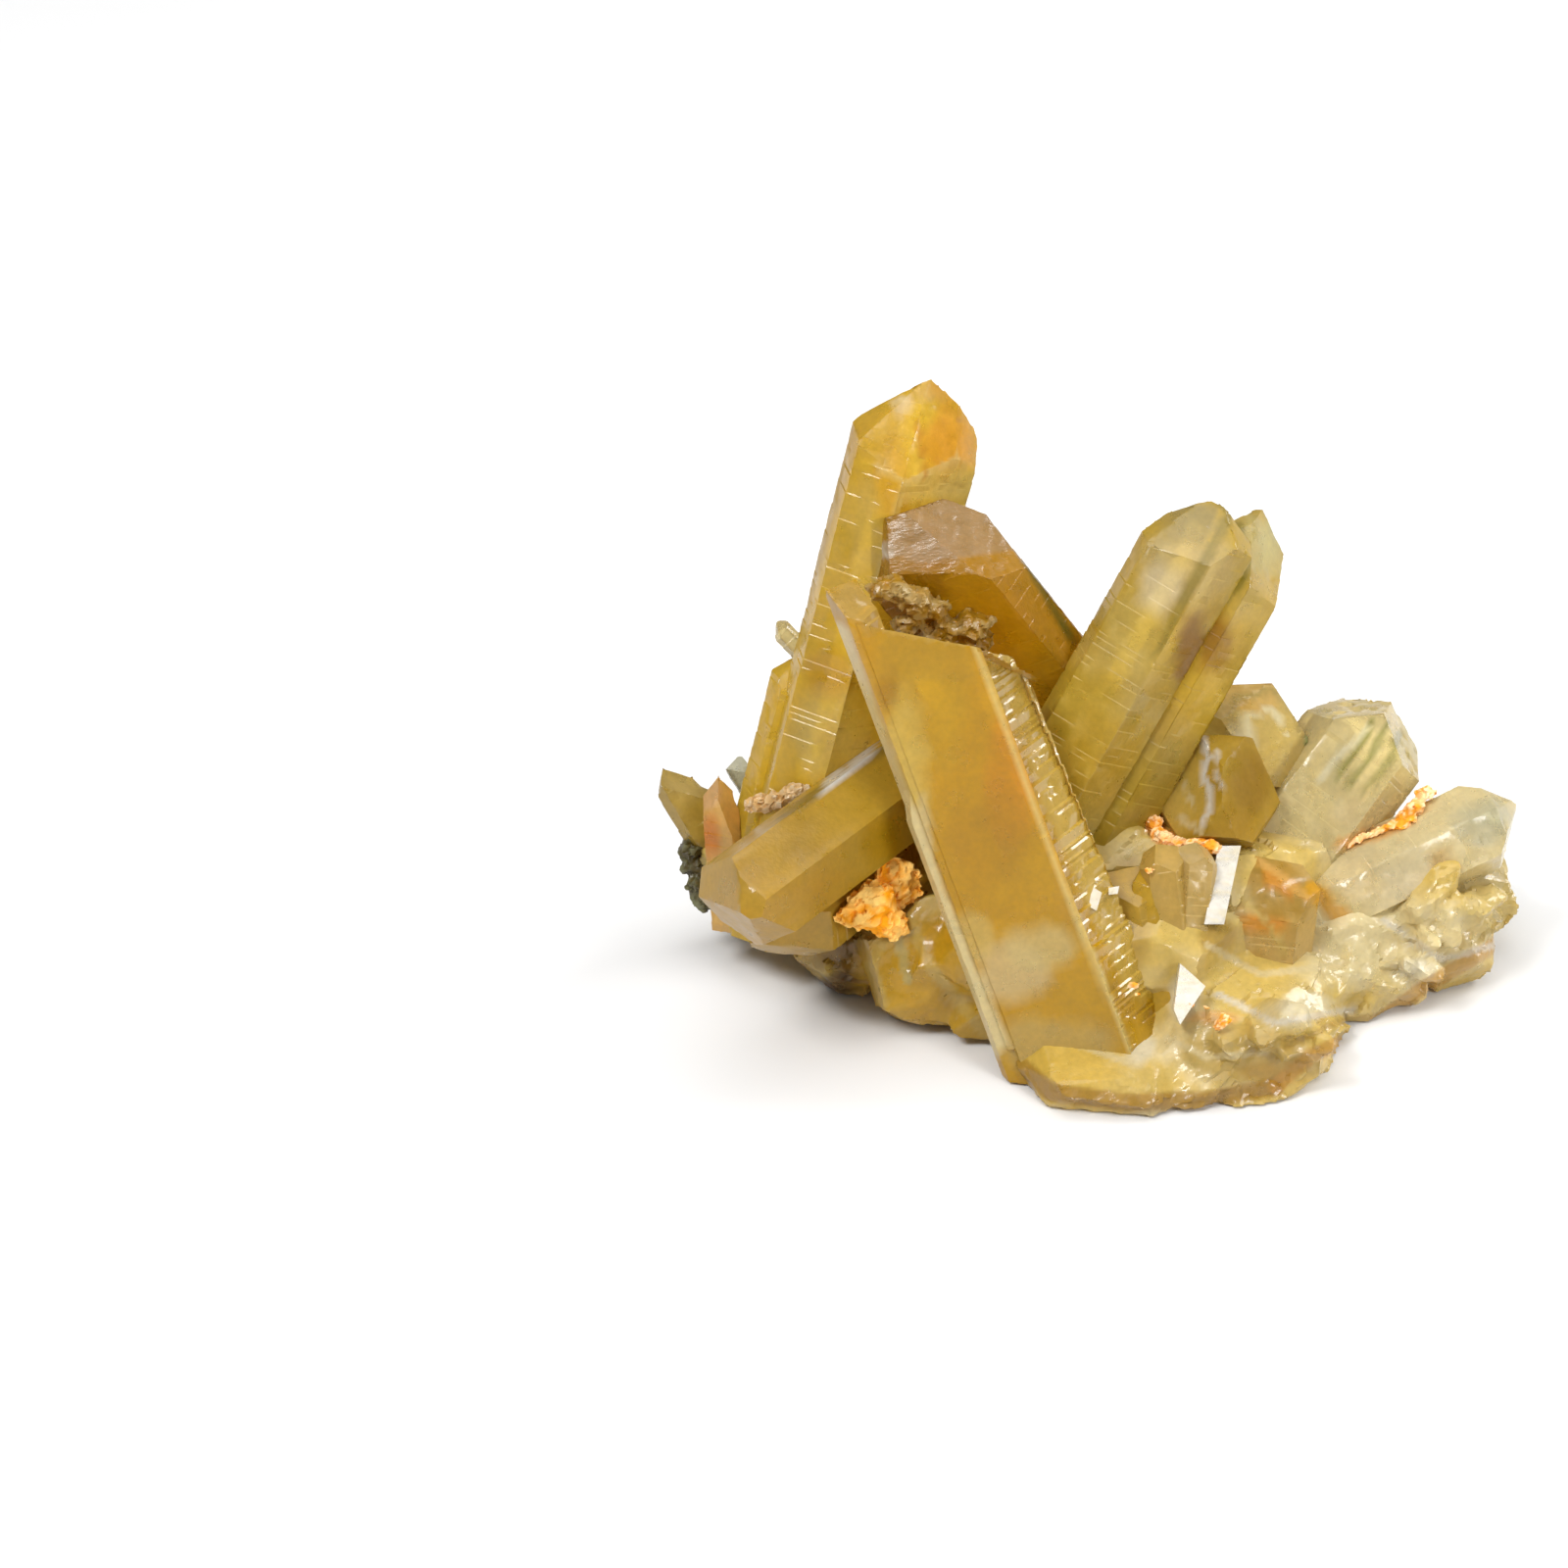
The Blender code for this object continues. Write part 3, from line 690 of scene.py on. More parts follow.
# Smaller crystals of the regular habit: root, tip, radius, seed, foot
PLAIN_CRYSTALS = {
    "pale_sliver": ((-29.6, 8, 34.2), (-32.2, 9, 36.6), 1.1, 5, 4),
    "left_stub": ((-25.2, -2, 12.8), (-33.2, -12, 11.4), 4.6, 3, 8),
    "rim_point_a": ((32.8, 4, 8.6), (43.1, 3, 9.7), 3.4, 7, 4),
    "rim_point_b": ((32.7, 2.4, 6), (42.9, 2, 5.8), 3.2, 9, 4),
    "rim_point_c": ((33, 7, 11), (42.4, 9, 13.6), 3, 12, 4),
    "back_a": ((-6, 12, 10), (-10, 21, 29), 4.4, 41, 5),
    "back_b": ((6, 12, 10), (7, 21.5, 25), 3.8, 42, 5),
    "back_c": ((-21, 10, 10), (-25, 17.5, 23), 3.4, 43, 5),
    "back_d": ((23, 11, 6), (28, 19, 17), 3.6, 44, 5),
}

LOBES = (
    ((2, 2, 7), (24, 17, 12), 11, 26),
    ((1, -13.3, 1.6), (12.2, 13, 4.4), 4, 64),
    ((13, -9.5, 2.6), (13, 14.8, 7.8), 8, 56),
    ((22.5, 1.5, 4), (12.5, 10.5, 8.8), 15, 48),
    ((35, 10.5, 4.5), (9, 7, 7), 16, 24),
    ((5, 14, 6), (24, 10, 11), 23, 24),
    ((-22, 7, 8.5), (14, 9.5, 10.5), 27, 24),
    ((-33, 7, 9), (8, 5.5, 6.5), 31, 24),
    ((-15.5, -6, 6.5), (8, 6, 8), 34, 24),
    ((-25, -0.5, 4.6), (5, 5, 5), 37, 24),
    ((16.5, 9, 14), (5, 4.5, 4.5), 38, 24),
    ((-12.5, -10.5, 10), (4, 4, 4), 39, 24),
    ((9.5, -18.5, 1.8), (7, 5.5, 3.4), 43, 24),
)
# Flat bright faces painted white as painted reflections: corners in the front view, depth of the first
# corner, how fast it leans back
PLATES = {
    "bright_prism": (((13.2, 13.6), (15.5, 13.6), (13.5, 5.7), (11.5, 5.7)), 14.6, -0.42),
    "mirror_a": (((-0.4, 9.9), (1.3, 8.8), (0.7, 7), (0.1, 7.3)), 21.3, -0.4),
    "mirror_b": (((2, 9.3), (3.1, 9.5), (2.9, 8.7), (2, 8.6)), 20.6, -0.4),
    "front_wedge": (((9.3, 1.6), (11.8, -0.7), (9.1, -4.5), (8.5, -3)), 20.4, -0.45),
}

PATCH_LUMPS = 12
PATCH_START = Vector((-20.5, -2.4, 45.5))
PATCH_END = Vector((-13, -1.4, 39.5))

# Orange and cream crusts: centre, radii, seed, faces of each lump
RUST_CRUST = (
    ((-22.4, -9.6, 14.6), (2.6, 1.2, 2.4), 71, 16), ((-19.9, -7.6, 16), (2.4, 1.2, 2.8), 72, 16),
    ((-20.6, -9.4, 12.4), (2, 1, 1.8), 73, 16), ((-22.9, -9, 13), (1.8, 1, 1.6), 74, 16),
    ((-24.4, -10.2, 13.9), (1.6, 1, 1.2), 75, 14),
)
# Crusts along a line: right, up and depth in the front view at each bend, lumps, their size, seed
CRUST_LINES = {
    "orange_band": (((5.8, 17, 9.2), (7.6, 14.4, 12.8), (12.4, 13.6, 14.4)), 12, 0.62, 501),
    "orange_line": (((26.4, 13.9, 6.6), (32, 15.9, 6.6), (34.4, 19, 5.4)), 14, 0.62, 502),
    "orange_crumbs": (((10.5, -2.6, 22), (14.4, -4, 22.4), (13, -5, 22.8)), 6, 0.4, 503),
    "orange_specks": (((4.6, -0.6, 23.4), (5, -1.4, 23.4)), 2, 0.34, 504),
    "upper_specks": (((3.6, 16.2, 12.6), (6.1, 11.2, 18.6)), 2, 0.34, 505),
}
CREAM_CRUST = (
    ((-33.4, 0.6, 20.4), (1.8, 1, 1), 76, 14), ((-31.6, -0.4, 21.4), (1.6, 1, 0.9), 78, 14),
    ((-30, -0.8, 22.6), (1.5, 1, 0.8), 79, 14),
)

# Small crystals on a lobe: its centre and radii, their directions round it and up, count, seed
FRONT_DRUSES = (
    ((13, -9.5, 4), (13, 14.5, 8.5), (-95, -25), (5, 30), 9, 200),
    ((27, 2, 5), (14, 12, 9), (-70, 20), (0, 60), 20, 300),
)
BACK_DRUSES = {
    "druse_back": ((5, 14, 6), (24, 10, 11), (30, 150), (0, 60), 22, 400),
    "druse_left": ((-24, 7, 8.5), (14, 9.5, 10.5), (100, 200), (0, 50), 12, 500),
}

RIM_LUMPS = 18
RIM_START = Vector((-10, -9, 2.5))
RIM_END = Vector((42, 7, 2.5))
RIM_BOW = 10


# Marks in a crystal: millimetres right and up in the front view, half width, half height, colour, strength
SPOTS = {
    "front_crystal": (
        # The second mark on this line is a painted orange glow inside the front crystal
        (-16.5, 27, 5, 8, (210, 166, 16), 0.7), (-8, 20.5, 3.4, 8, (224, 150, 4), 0.6),
        (-10.5, 14, 5, 6, (196, 146, 10), 0.6), (-20.5, 30, 1.5, 3, SMOKE, 0.4),
        (-18.6, 17, 3.2, 15, (228, 200, 96), 0.75), (-17, 12, 1.3, 9, CREAM, 0.6),
        (-8, 0.8, 5, 4, CREAM, 0.55), (-5, 3.5, 5, 3, (224, 202, 130), 0.7),
        (-12, 4, 3, 3.5, (222, 196, 110), 0.6), (-3, -7, 8, 4, (204, 174, 90), 0.8),
        # The knob's pale beige mark at the start of this line is partly its own tone and partly a painted
        # sheen
        (-24.8, 38.5, 2.5, 2.5, (198, 158, 64), 0.95), (-1, 8, 3, 5, (206, 158, 40), 0.6)),
    "right_pair_left": (
        (9.5, 42, 6, 5, (208, 186, 124), 0.6), (4.5, 35, 4, 6, (208, 184, 100), 0.5),
        (10.6, 33, 2.2, 5.5, SMOKE, 0.9), (7.5, 40, 3, 3, (228, 214, 176), 0.6),
        (0, 22, 6, 6, GOLD, 0.5), (11, 46.5, 3, 2.5, (190, 176, 120), 0.6)),
    "right_pair_right": (
        (15.2, 43, 1.5, 4.5, GREEN_SHADE, 0.9), (13, 34.5, 2, 4.5, SMOKE, 0.8),
        (18.5, 45, 1.6, 3, (206, 196, 120), 0.7), (13.2, 40, 2, 2, (224, 214, 170), 0.6)),
    "tall_back": (
        (-14.5, 54.5, 3.2, 5, (206, 136, 12), 0.7), (-20, 50.5, 2.4, 6, (196, 142, 20), 0.6),
        (-13.5, 49.5, 3.5, 2, (190, 164, 80), 0.8), (-22.5, 44, 2.2, 8, (206, 176, 84), 0.6),
        (-26, 25, 5, 6, (228, 200, 96), 0.8), (-26.5, 31, 3, 3.5, (206, 156, 26), 0.6),
        # The last mark on this line, small and whitish, is a painted glint
        (-15.5, 60, 3, 1.6, (226, 186, 110), 0.6), (-19, 58.5, 1.5, 1.2, (236, 220, 180), 0.7)),
    "middle_stub": (
        (-9, 36, 4, 5, (196, 138, 8), 0.6), (-16, 44, 3, 3, (170, 116, 12), 0.6),
        (-20.5, 43.8, 1, 1, WHITE, 0.9), (-4, 31, 2.5, 3.5, (150, 116, 20), 0.5)),
    "left_slanted": (
        (-25, 8.5, 7, 3, (196, 150, 20), 0.8), (-21, 14, 3, 3, (196, 150, 12), 0.8),
        (-37, 4, 7, 5, (204, 162, 52), 0.9)),
    "amber_block": (
        (19.4, 10.8, 1.8, 1.6, (230, 166, 60), 0.7), (15, 10.4, 1.6, 1.4, (230, 176, 80), 0.6),
        (17.6, 5.6, 3.2, 1.6, (232, 158, 50), 0.8), (17.5, 8.5, 3, 1.5, (200, 180, 120), 0.7),
        (13.8, 6.5, 1.2, 3, (190, 166, 100), 0.5)),
    "blunt_front": (
        (8.5, 19, 2.6, 5, (216, 182, 84), 0.9), (16.5, 20, 2, 4, SMOKE, 0.7),
        (14, 22.5, 3, 2.5, (196, 160, 50), 0.5)),
    "pale_broken": (
        (26, 21, 2.6, 4, (214, 198, 142), 0.8), (29, 16.5, 5, 2.5, (224, 204, 150), 0.7),
        (33, 24, 3, 2.5, (212, 194, 120), 0.7)),
    "pale_blunt": (
        (17, 29, 4, 2.4, (222, 176, 92), 0.7), (15.5, 24, 2, 3.5, (232, 220, 180), 0.7)),
    "pale_right": (
        (27.5, 10, 5, 4, (238, 218, 164), 0.95), (33, 9, 4, 5, (238, 222, 176), 0.9),
        (40, 16, 4, 3, (206, 202, 168), 0.8), (36, 12, 2, 2, (210, 168, 96), 0.6)),
    "orange_flake": (
        (-38.6, 14.5, 1.4, 3, (222, 134, 34), 0.9), (-38.8, 19, 1.6, 2, (230, 186, 130), 0.8)),
    "rough_base": (
        (-5, -9, 9, 5, (228, 190, 78), 0.9), (-4, -1.5, 6, 4, (222, 198, 130), 0.8),
        (-25.5, 3.5, 3.5, 3.5, (136, 98, 20), 0.95), (-25, -0.3, 3, 1.4, (96, 62, 20), 0.9),
        (-17, 0.5, 8, 8, (214, 164, 26), 1), (-12, -5, 5, 4, (210, 164, 40), 0.9),
        (-35, 17.5, 3, 2, (228, 176, 120), 0.9),
        (-34, 4, 9, 8, (190, 148, 40), 0.9), (4, 6, 3, 8, (190, 152, 60), 0.7),
        (30, 4, 12, 7, (240, 222, 166), 0.95), (20.5, -3.5, 4.5, 2, (230, 214, 164), 0.8),
        (16, -8, 8, 4, (196, 164, 78), 0.8), (41, 10, 4, 8, (224, 200, 126), 0.8),
        (32, 16, 3, 1.6, (226, 150, 60), 0.8), (12.5, -4, 3.4, 1, (236, 172, 90), 0.7),
        (9.6, -2, 2, 3, (232, 224, 200), 0.6), (-8.5, 0.5, 3, 2.2, (240, 230, 200), 0.8),
        (2, 1, 2.6, 1.4, (236, 224, 186), 0.7), (5, -7, 2, 2.6, (238, 228, 196), 0.8),
        (22, -2.6, 3.6, 1.6, (238, 226, 186), 0.8), (33.5, 1, 3, 1.4, (240, 230, 196), 0.8),
        (17.5, -9.5, 3, 1.2, (180, 140, 50), 0.7), (13, 4.5, 2.4, 2.2, (180, 140, 40), 0.7)),
}

# Faces of their own tone, some of them painted reflection, sheen or shade: corners in the front view,
# colour, strength
FACES = {
    "middle_stub": (
        # Painted reflection: the pitted top face is painted greyish pink, as the overhead light's
        # reflection shows on it
        (((-22.4, 41.6), (-18.8, 47.9), (-15.2, 49.6), (-8.4, 47), (-6.2, 41.8), (-10.4, 40.4),
          (-17, 42.4)), (176, 144, 98), 0.9),
        (((-9.4, 47), (-8.4, 46.6), (-1.2, 34.6), (-2.2, 34.6)), (96, 92, 20), 0.9)),
    "front_crystal": (
        # The knob's pale beige face is partly its own tone and partly a painted sheen
        (((-25.8, 38.2), (-25, 40.7), (-22.5, 39.9), (-21, 36), (-22.5, 35)), (204, 166, 80), 0.8),
        (((-20.5, 36), (-12.7, 34.3), (-11.6, 30.5), (-22.5, 30.5)), (200, 158, 30), 0.6)),
    "tall_back": (
        (((-18.9, 50.5), (-13.4, 53.1), (-11.4, 51.7), (-12, 49), (-18.6, 48.6)), (208, 180, 96), 0.8),
        (((-16.5, 61), (-13.9, 60.6), (-11.2, 56.3), (-11.4, 51.7), (-13.4, 53.1)),
         (220, 160, 30), 0.6),
        (((-23.5, 54.3), (-18.9, 50.5), (-17.8, 59.5), (-24.1, 56.9)), (212, 168, 50), 0.5),
        # The narrow face along the left side is painted darker olive as painted shade
        (((-24.1, 56.9), (-23.5, 54.3), (-29.6, 35), (-31, 35.5)), (176, 138, 40), 0.7)),
    "right_pair_left": (
        (((13.7, 48.7), (9, 48.4), (6, 44), (11.5, 44.5)), (168, 146, 76), 0.8),
        (((9.3, 36), (11.6, 36), (11, 29.9), (8.5, 30.9)), (150, 106, 14), 0.8)),
    "right_pair_right": (
        (((15.1, 46.4), (15.9, 41.1), (13.8, 38.2), (12.7, 42)), (140, 128, 30), 0.9),
        (((15.6, 48.2), (19.4, 45.4), (20, 41), (16.2, 41.6)), (204, 188, 116), 0.7),
        (((12.9, 37.5), (14.4, 36.9), (12, 31), (10.8, 31.5)), (160, 112, 16), 0.7)),
    "amber_block": (
        (((15.5, 13.6), (20.1, 12), (23.6, 9), (21.9, 6), (17, 6.5)), (176, 138, 44), 0.8),
        (((17.6, 11.6), (21.4, 9.8), (20.6, 8.2), (18, 9.4)), (222, 140, 30), 0.7)),
    "blunt_front": (
        (((6.1, 18.4), (9.3, 23.6), (11.4, 24.8), (12.6, 16), (8.4, 14.2)), (214, 180, 84), 0.7),
        (((14.4, 24), (17.6, 23), (19.2, 20.1), (15.5, 14.2), (13.6, 15)), (172, 132, 20), 0.7)),
}

# Stained or lighter lines in a crystal, some of them painted edge highlights and glints: places in the
# front view, half width, colour, strength
STREAKS = {
    "front_crystal": (
        (((-25.8, 35), (-18.4, 15), (-13.6, 2.3), (-9.8, -6.5)), 1.7, (240, 222, 160), 0.95),
        (((-8.5, 31.5), (-1, 14), (5.5, 0)), 2.4, (220, 186, 84), 0.7),
        # These three pale lines along the front crystal's edges are painted edge highlights
        (((-11.9, 34.2), (4, -7.1)), 0.35, (236, 212, 130), 0.8),
        (((-10.5, 34), (-7.6, 32.6), (8, 0.6)), 0.5, (228, 196, 110), 0.7),
        (((-20.8, 35.8), (-12.8, 34.4)), 0.5, (226, 190, 96), 0.6)),
    "rough_base": (
        (((5.6, 17.2), (7.6, 14.4), (12.6, 13.6)), 1.1, ORANGE, 0.8),
        (((-9.8, -6.4), (-4, -11.5), (4, -12.6), (12, -12.4), (19, -11)), 1.1,
         (168, 124, 36), 0.8),
        (((19, -11), (22.6, -7.8), (27.5, -5.8), (34, -1), (43.5, 4.8)), 0.9,
         (204, 150, 60), 0.7),
        (((-20.4, 4.9), (-22.3, 1.5), (-21, -2.5)), 0.7, (220, 184, 84), 0.9),
        (((-19.3, 8), (-16, 1), (-9.8, -6.5)), 0.7, (216, 182, 90), 0.8),
        (((-20, 7), (-18.5, 0)), 0.6, (206, 186, 110), 0.8),
        (((-8, -2), (-3, -6), (4, -8.5)), 0.4, CREAM, 0.7),
        (((13, -1.5), (19, -4.5), (27, -3)), 0.4, WHITE, 0.6),
        (((12, 3.5), (17.5, 0.5), (26, 1.5)), 0.4, CREAM, 0.7),
        (((20, -7), (25, -4.5), (31, -3.5)), 0.4, (176, 140, 60), 0.6),
        (((30, 6), (36, 2), (41.5, 3.5)), 0.4, WHITE, 0.6),
        (((8, -6), (12, -8), (18, -7.5)), 0.4, CREAM, 0.7)),
    "amber_block": (
        (((22.9, 9), (24.5, 7.5), (26, 5.5)), 1.2, (226, 166, 20), 0.95),
        (((15.5, 13), (19, 11), (22.5, 8)), 0.5, (226, 176, 90), 0.8),
        (((14, 9.5), (18, 6), (20, 3)), 0.4, (216, 190, 110), 0.8)),
    "pale_right": (
        (((26, 13.8), (32, 15.9), (34.6, 19)), 0.8, (240, 180, 96), 0.8),
        (((22.9, 9.6), (24.6, 8), (26.6, 5)), 1.3, (226, 166, 20), 0.9),
        (((22, 11.6), (29.3, 4.8)), 0.5, (232, 212, 150), 0.8)),
    "pale_broken": (
        (((29, 26.4), (27, 23), (25, 20.5)), 0.5, (150, 146, 70), 0.9),
        (((30.4, 26), (28.6, 22.6), (26, 19.4)), 0.45, (156, 150, 76), 0.9),
        (((31.6, 25), (30.6, 22), (28, 19.4)), 0.4, (160, 152, 84), 0.8),
        (((28, 25), (25, 22.4), (23.4, 20)), 0.4, (240, 230, 190), 0.8),
        (((26, 13.8), (32, 15.9), (34.6, 19)), 0.8, (240, 180, 96), 0.8)),
    "pale_blunt": (
        (((14.6, 22), (14.8, 28.5), (19, 29.6), (21.6, 26)), 0.4, (184, 158, 84), 0.9),
        (((16, 22), (16.2, 26.8), (18.6, 27.6), (20.2, 25)), 0.35, (238, 226, 186), 0.9),
        (((21.4, 29), (22.6, 26.5), (22.4, 24)), 0.5, (120, 150, 90), 0.8)),
    "blunt_front": (
        # The white lines on the ridge are painted glints
        (((11.6, 24.6), (12.2, 22.6), (11.6, 20.8)), 0.35, WHITE, 0.8),
        (((11.8, 20.6), (12.6, 18.4), (11.6, 15.8)), 0.4, WHITE, 0.8),
        (((13.2, 23.4), (12.8, 21.4), (13.6, 19.4)), 0.3, WHITE, 0.6),
        (((9.6, 20), (10.8, 17.6)), 0.3, CREAM, 0.7), (((9.4, 16.4), (11.4, 15)), 0.4, CREAM, 0.7)),
    "left_slanted": (
        (((-31.5, 16.6), (-20.8, 23.5)), 0.5, (120, 100, 30), 0.8),
        # The white marks on this line are painted glints on the top face
        (((-26.6, 20), (-25.2, 21)), 0.7, WHITE, 0.9), (((-24, 22), (-22.4, 23.2)), 0.7, WHITE, 0.9)),
    "tall_back": (
        # The next two pale lines along the ridges are painted edge highlights
        (((-23.5, 54), (-18.8, 50.5), (-13.4, 53)), 0.35, (224, 196, 120), 0.7),
        (((-18.8, 50.5), (-24, 32)), 0.4, (216, 188, 104), 0.6),
        (((-17.6, 57), (-16.6, 51.5)), 0.35, (190, 128, 20), 0.7)),
    "right_pair_left": (
        (((13.7, 48.7), (14.2, 47), (7.1, 33.7)), 0.5, (150, 134, 60), 0.7),),
}

# How each crystal looks

def look(seed, colour, **changes):
    """The values of one crystal: those that most share, with its own changes."""
    values = {
        "seed": seed, "colour": colour, "pitch": 1.3, "riser": 0.12, "grid": 0.6, "step": 0.02,
        "taper": 0.1, "broken": 0.25, "pits": 0.08, "terrace": 3.0, "wear": 0.07, "cloud": 7.0,
        "clouds": 0.5, "darks": 0.5, "cloud_colour": CREAM, "lively": {}, "widening": (), "saw": 0.07}
    values.update(changes)
    return values


LOOKS = {
    "tall_back": look(1, (220, 180, 44), clouds=0.25, darks=0.35, cloud_colour=(214, 190, 110)),
    "middle_stub": look(3, DARK_AMBER, clouds=0.1, darks=0.5, grid=0.3, pits=0.1, terrace=(1.4, 0.5, 1.0),
                        cloud_colour=GOLD),
    "right_pair_left": look(5, KHAKI, clouds=0.45, darks=0.5, cloud_colour=(216, 196, 134)),
    "right_pair_right": look(6, KHAKI, clouds=0.4, darks=0.5, cloud_colour=(216, 196, 134)),
    "left_slanted": look(7, (200, 160, 46), clouds=0.2, step=0.0, broken=0.1, pits=0.02, saw=0.01,
                         pitch=2.4, cloud_colour=GOLD),
    "blunt_front": look(8, (190, 150, 36), darks=0.5, clouds=0.2, grid=0.6, cloud_colour=KHAKI),
    "pale_blunt": look(9, (206, 176, 92), clouds=0.3, grid=0.7),
    "pale_broken": look(10, (236, 214, 148), clouds=0.5, pits=0.3, broken=1.0, grid=0.5),
    "pale_leaf": look(11, (212, 196, 130), grid=0.6),
    "pale_right": look(12, (242, 224, 168), clouds=0.5, darks=0.3, grid=0.6),
    "amber_block": look(13, (208, 172, 92), clouds=0.3, pits=0.2, grid=0.5),
    "front_prism_a": look(15, (204, 168, 82), grid=0.6, clouds=0.3),
    "front_prism_b": look(16, (206, 172, 92), grid=0.6, clouds=0.3),
    "front_prism_c": look(17, GOLD, grid=0.6, clouds=0.3),
    "amber_leaf": look(18, GOLD, grid=0.8, clouds=0.2),
    "olive_flake": look(20, (176, 146, 60), grid=0.6, pits=0.3, clouds=0.2),
    "orange_flake": look(21, (226, 178, 90), grid=0.4, pits=0.1, clouds=0.3),
    "grey_flake": look(22, (196, 192, 160), grid=0.5),
}


# How fine the unevenness of marks, of face tones and of lines is, in millimetres
WISP_SIZE = 2.4
UNEVEN_SIZE = 2.5
RAGGED_SIZE = 1.6


def painted(name, places, values):
    """The colour of each vertex: the crystal's own, its clouds, and the marks seen in its place, some of
    them painted highlights, glints, glow, reflection or shade.
    """
    colour = np.tile(linear(values["colour"]), (len(places), 1))
    colour = cloudy(colour, places, values)
    for right, up, wide, high, other, strength in SPOTS.get(name, ()):
        nearness = near(places, right, up, wide, high)
        wisps = 0.9 * (rough_noise(places, WISP_SIZE, 4, 91) - 0.5)
        amount = ramp(nearness + wisps, 0.1, 0.7) * np.clip(4.0 * nearness, 0.0, 1.0)
        colour = blend_in(colour, other, amount * strength)
    for corners, other, strength in FACES.get(name, ()):
        uneven = 0.7 + 0.6 * (rough_noise(places, UNEVEN_SIZE, 3, 92) - 0.2)
        colour = blend_in(colour, other, np.clip(inside(places, corners) * uneven, 0.0, 1.0) * strength)
    for points, width, other, strength in STREAKS.get(name, ()):
        ragged = 0.5 + rough_noise(places, RAGGED_SIZE, 2, 93)
        amount = np.clip(1.8 * near_line(places, points, width) * ragged, 0.0, 1.0)
        colour = blend_in(colour, other, amount * strength)
    return colour


def crystal_pieces(material_of):
    """The separate crystals; the tall one has its lower neighbour grown on."""
    for name, (root, tip, turn, sides, tops, foot) in CRYSTALS.items():
        values = LOOKS[name]
        places, faces = fine_crystal(root, tip, turn, sides, tops, foot, values)
        if name == "tall_back":
            places, faces = united([(places, faces), fine_crystal(*SHOULDER, values)])
        new_piece(name, places, faces, painted(name, places, values), material_of(name))
    for name, (root, tip, radius, seed, foot) in PLAIN_CRYSTALS.items():
        amber = name.startswith(("back", "left"))
        plain, cloud = ((208, 166, 52), GOLD) if amber else (PALE, CREAM)
        values = look(seed + 60, plain, grid=0.8, clouds=0.3, pits=0.05, cloud_colour=cloud)
        turn, sides, tops = plain_values(root, tip, radius, seed)
        places, faces = fine_crystal(root, tip, turn, sides, tops, foot, values)
        new_piece(name, places, faces, painted(name, places, values), material_of(name))


FRONT_ROOT = Vector((-3.0, -17.0, 9.7))
FRONT_TIP = Vector((-16.4, -8.0, 44.9))
FRONT_TURN = 45


def front_crystal(material, glossy):
    """The big front crystal: stepped right sides, broken shelf, flank and knob, joined in one."""
    root, tip = FRONT_ROOT, FRONT_TIP
    _, along, right, front = axis_frame(root, tip)
    widest = WIDE_STEP * len(WIDE_LEVELS)
    calm = {0: 2.6, 1: 0.0, 2: 0.3, 5: 1.5}
    values = look(4, DEEP_AMBER, clouds=0.3, darks=0.3, pitch=0.85, riser=0.22, step=0.01, grid=0.5,
                  lively=calm, widening=(0, 5), saw=0.07, cloud_colour=(216, 170, 26))
    plain = dict(values, widening=(), seed=44)
    knob = root - right * 6.8 - front * 2.5
    stepped = ((2.6 + widest, 1.8, 6.9, 7.0, 6.0, 6.6 + widest), ((321, 46.6, 36.9),), 12.0)
    shelf = ((2.68, 1.7, 4.6, 6.1, 5.1, 6.66), ((293, 57.0, 35.9),), 11.8)
    flank = ((1.0, 1.3, 8.3, 8.3, 3.0, 3.0), ((165, 15.8, 50.7), (0, 88.0, 28.0)), 11.0)
    rod = ((2.2, 2.3, 1.6, 2.5, 3.0, 2.0), ((56, 48.7, 44.0), (250, 45.0, 47.0)), 4.0)
    shapes = [fine_crystal(root, tip, FRONT_TURN, *stepped, values)]
    shapes += [fine_crystal(root, tip, FRONT_TURN, *part, plain) for part in (shelf, flank)]
    shapes.append(fine_crystal(knob, knob + along * 45.0, FRONT_TURN, *rod, plain))
    places, faces = united(shapes)
    colours = painted("front_crystal", places, values)
    turn = math.radians(FRONT_TURN)
    turned = right * math.cos(turn) + front * math.sin(turn)
    new_piece("front_crystal", places, faces, colours, material, glossy=(glossy, turned))


# The grid of cuts in a plate: directions and millimetres between cuts
PLATE_CUTS = ((UP_IN_VIEW, 0.3), (Vector((1.0, 0.0, 0.0)), 0.4))
PLATE_THICKNESS = 2.4


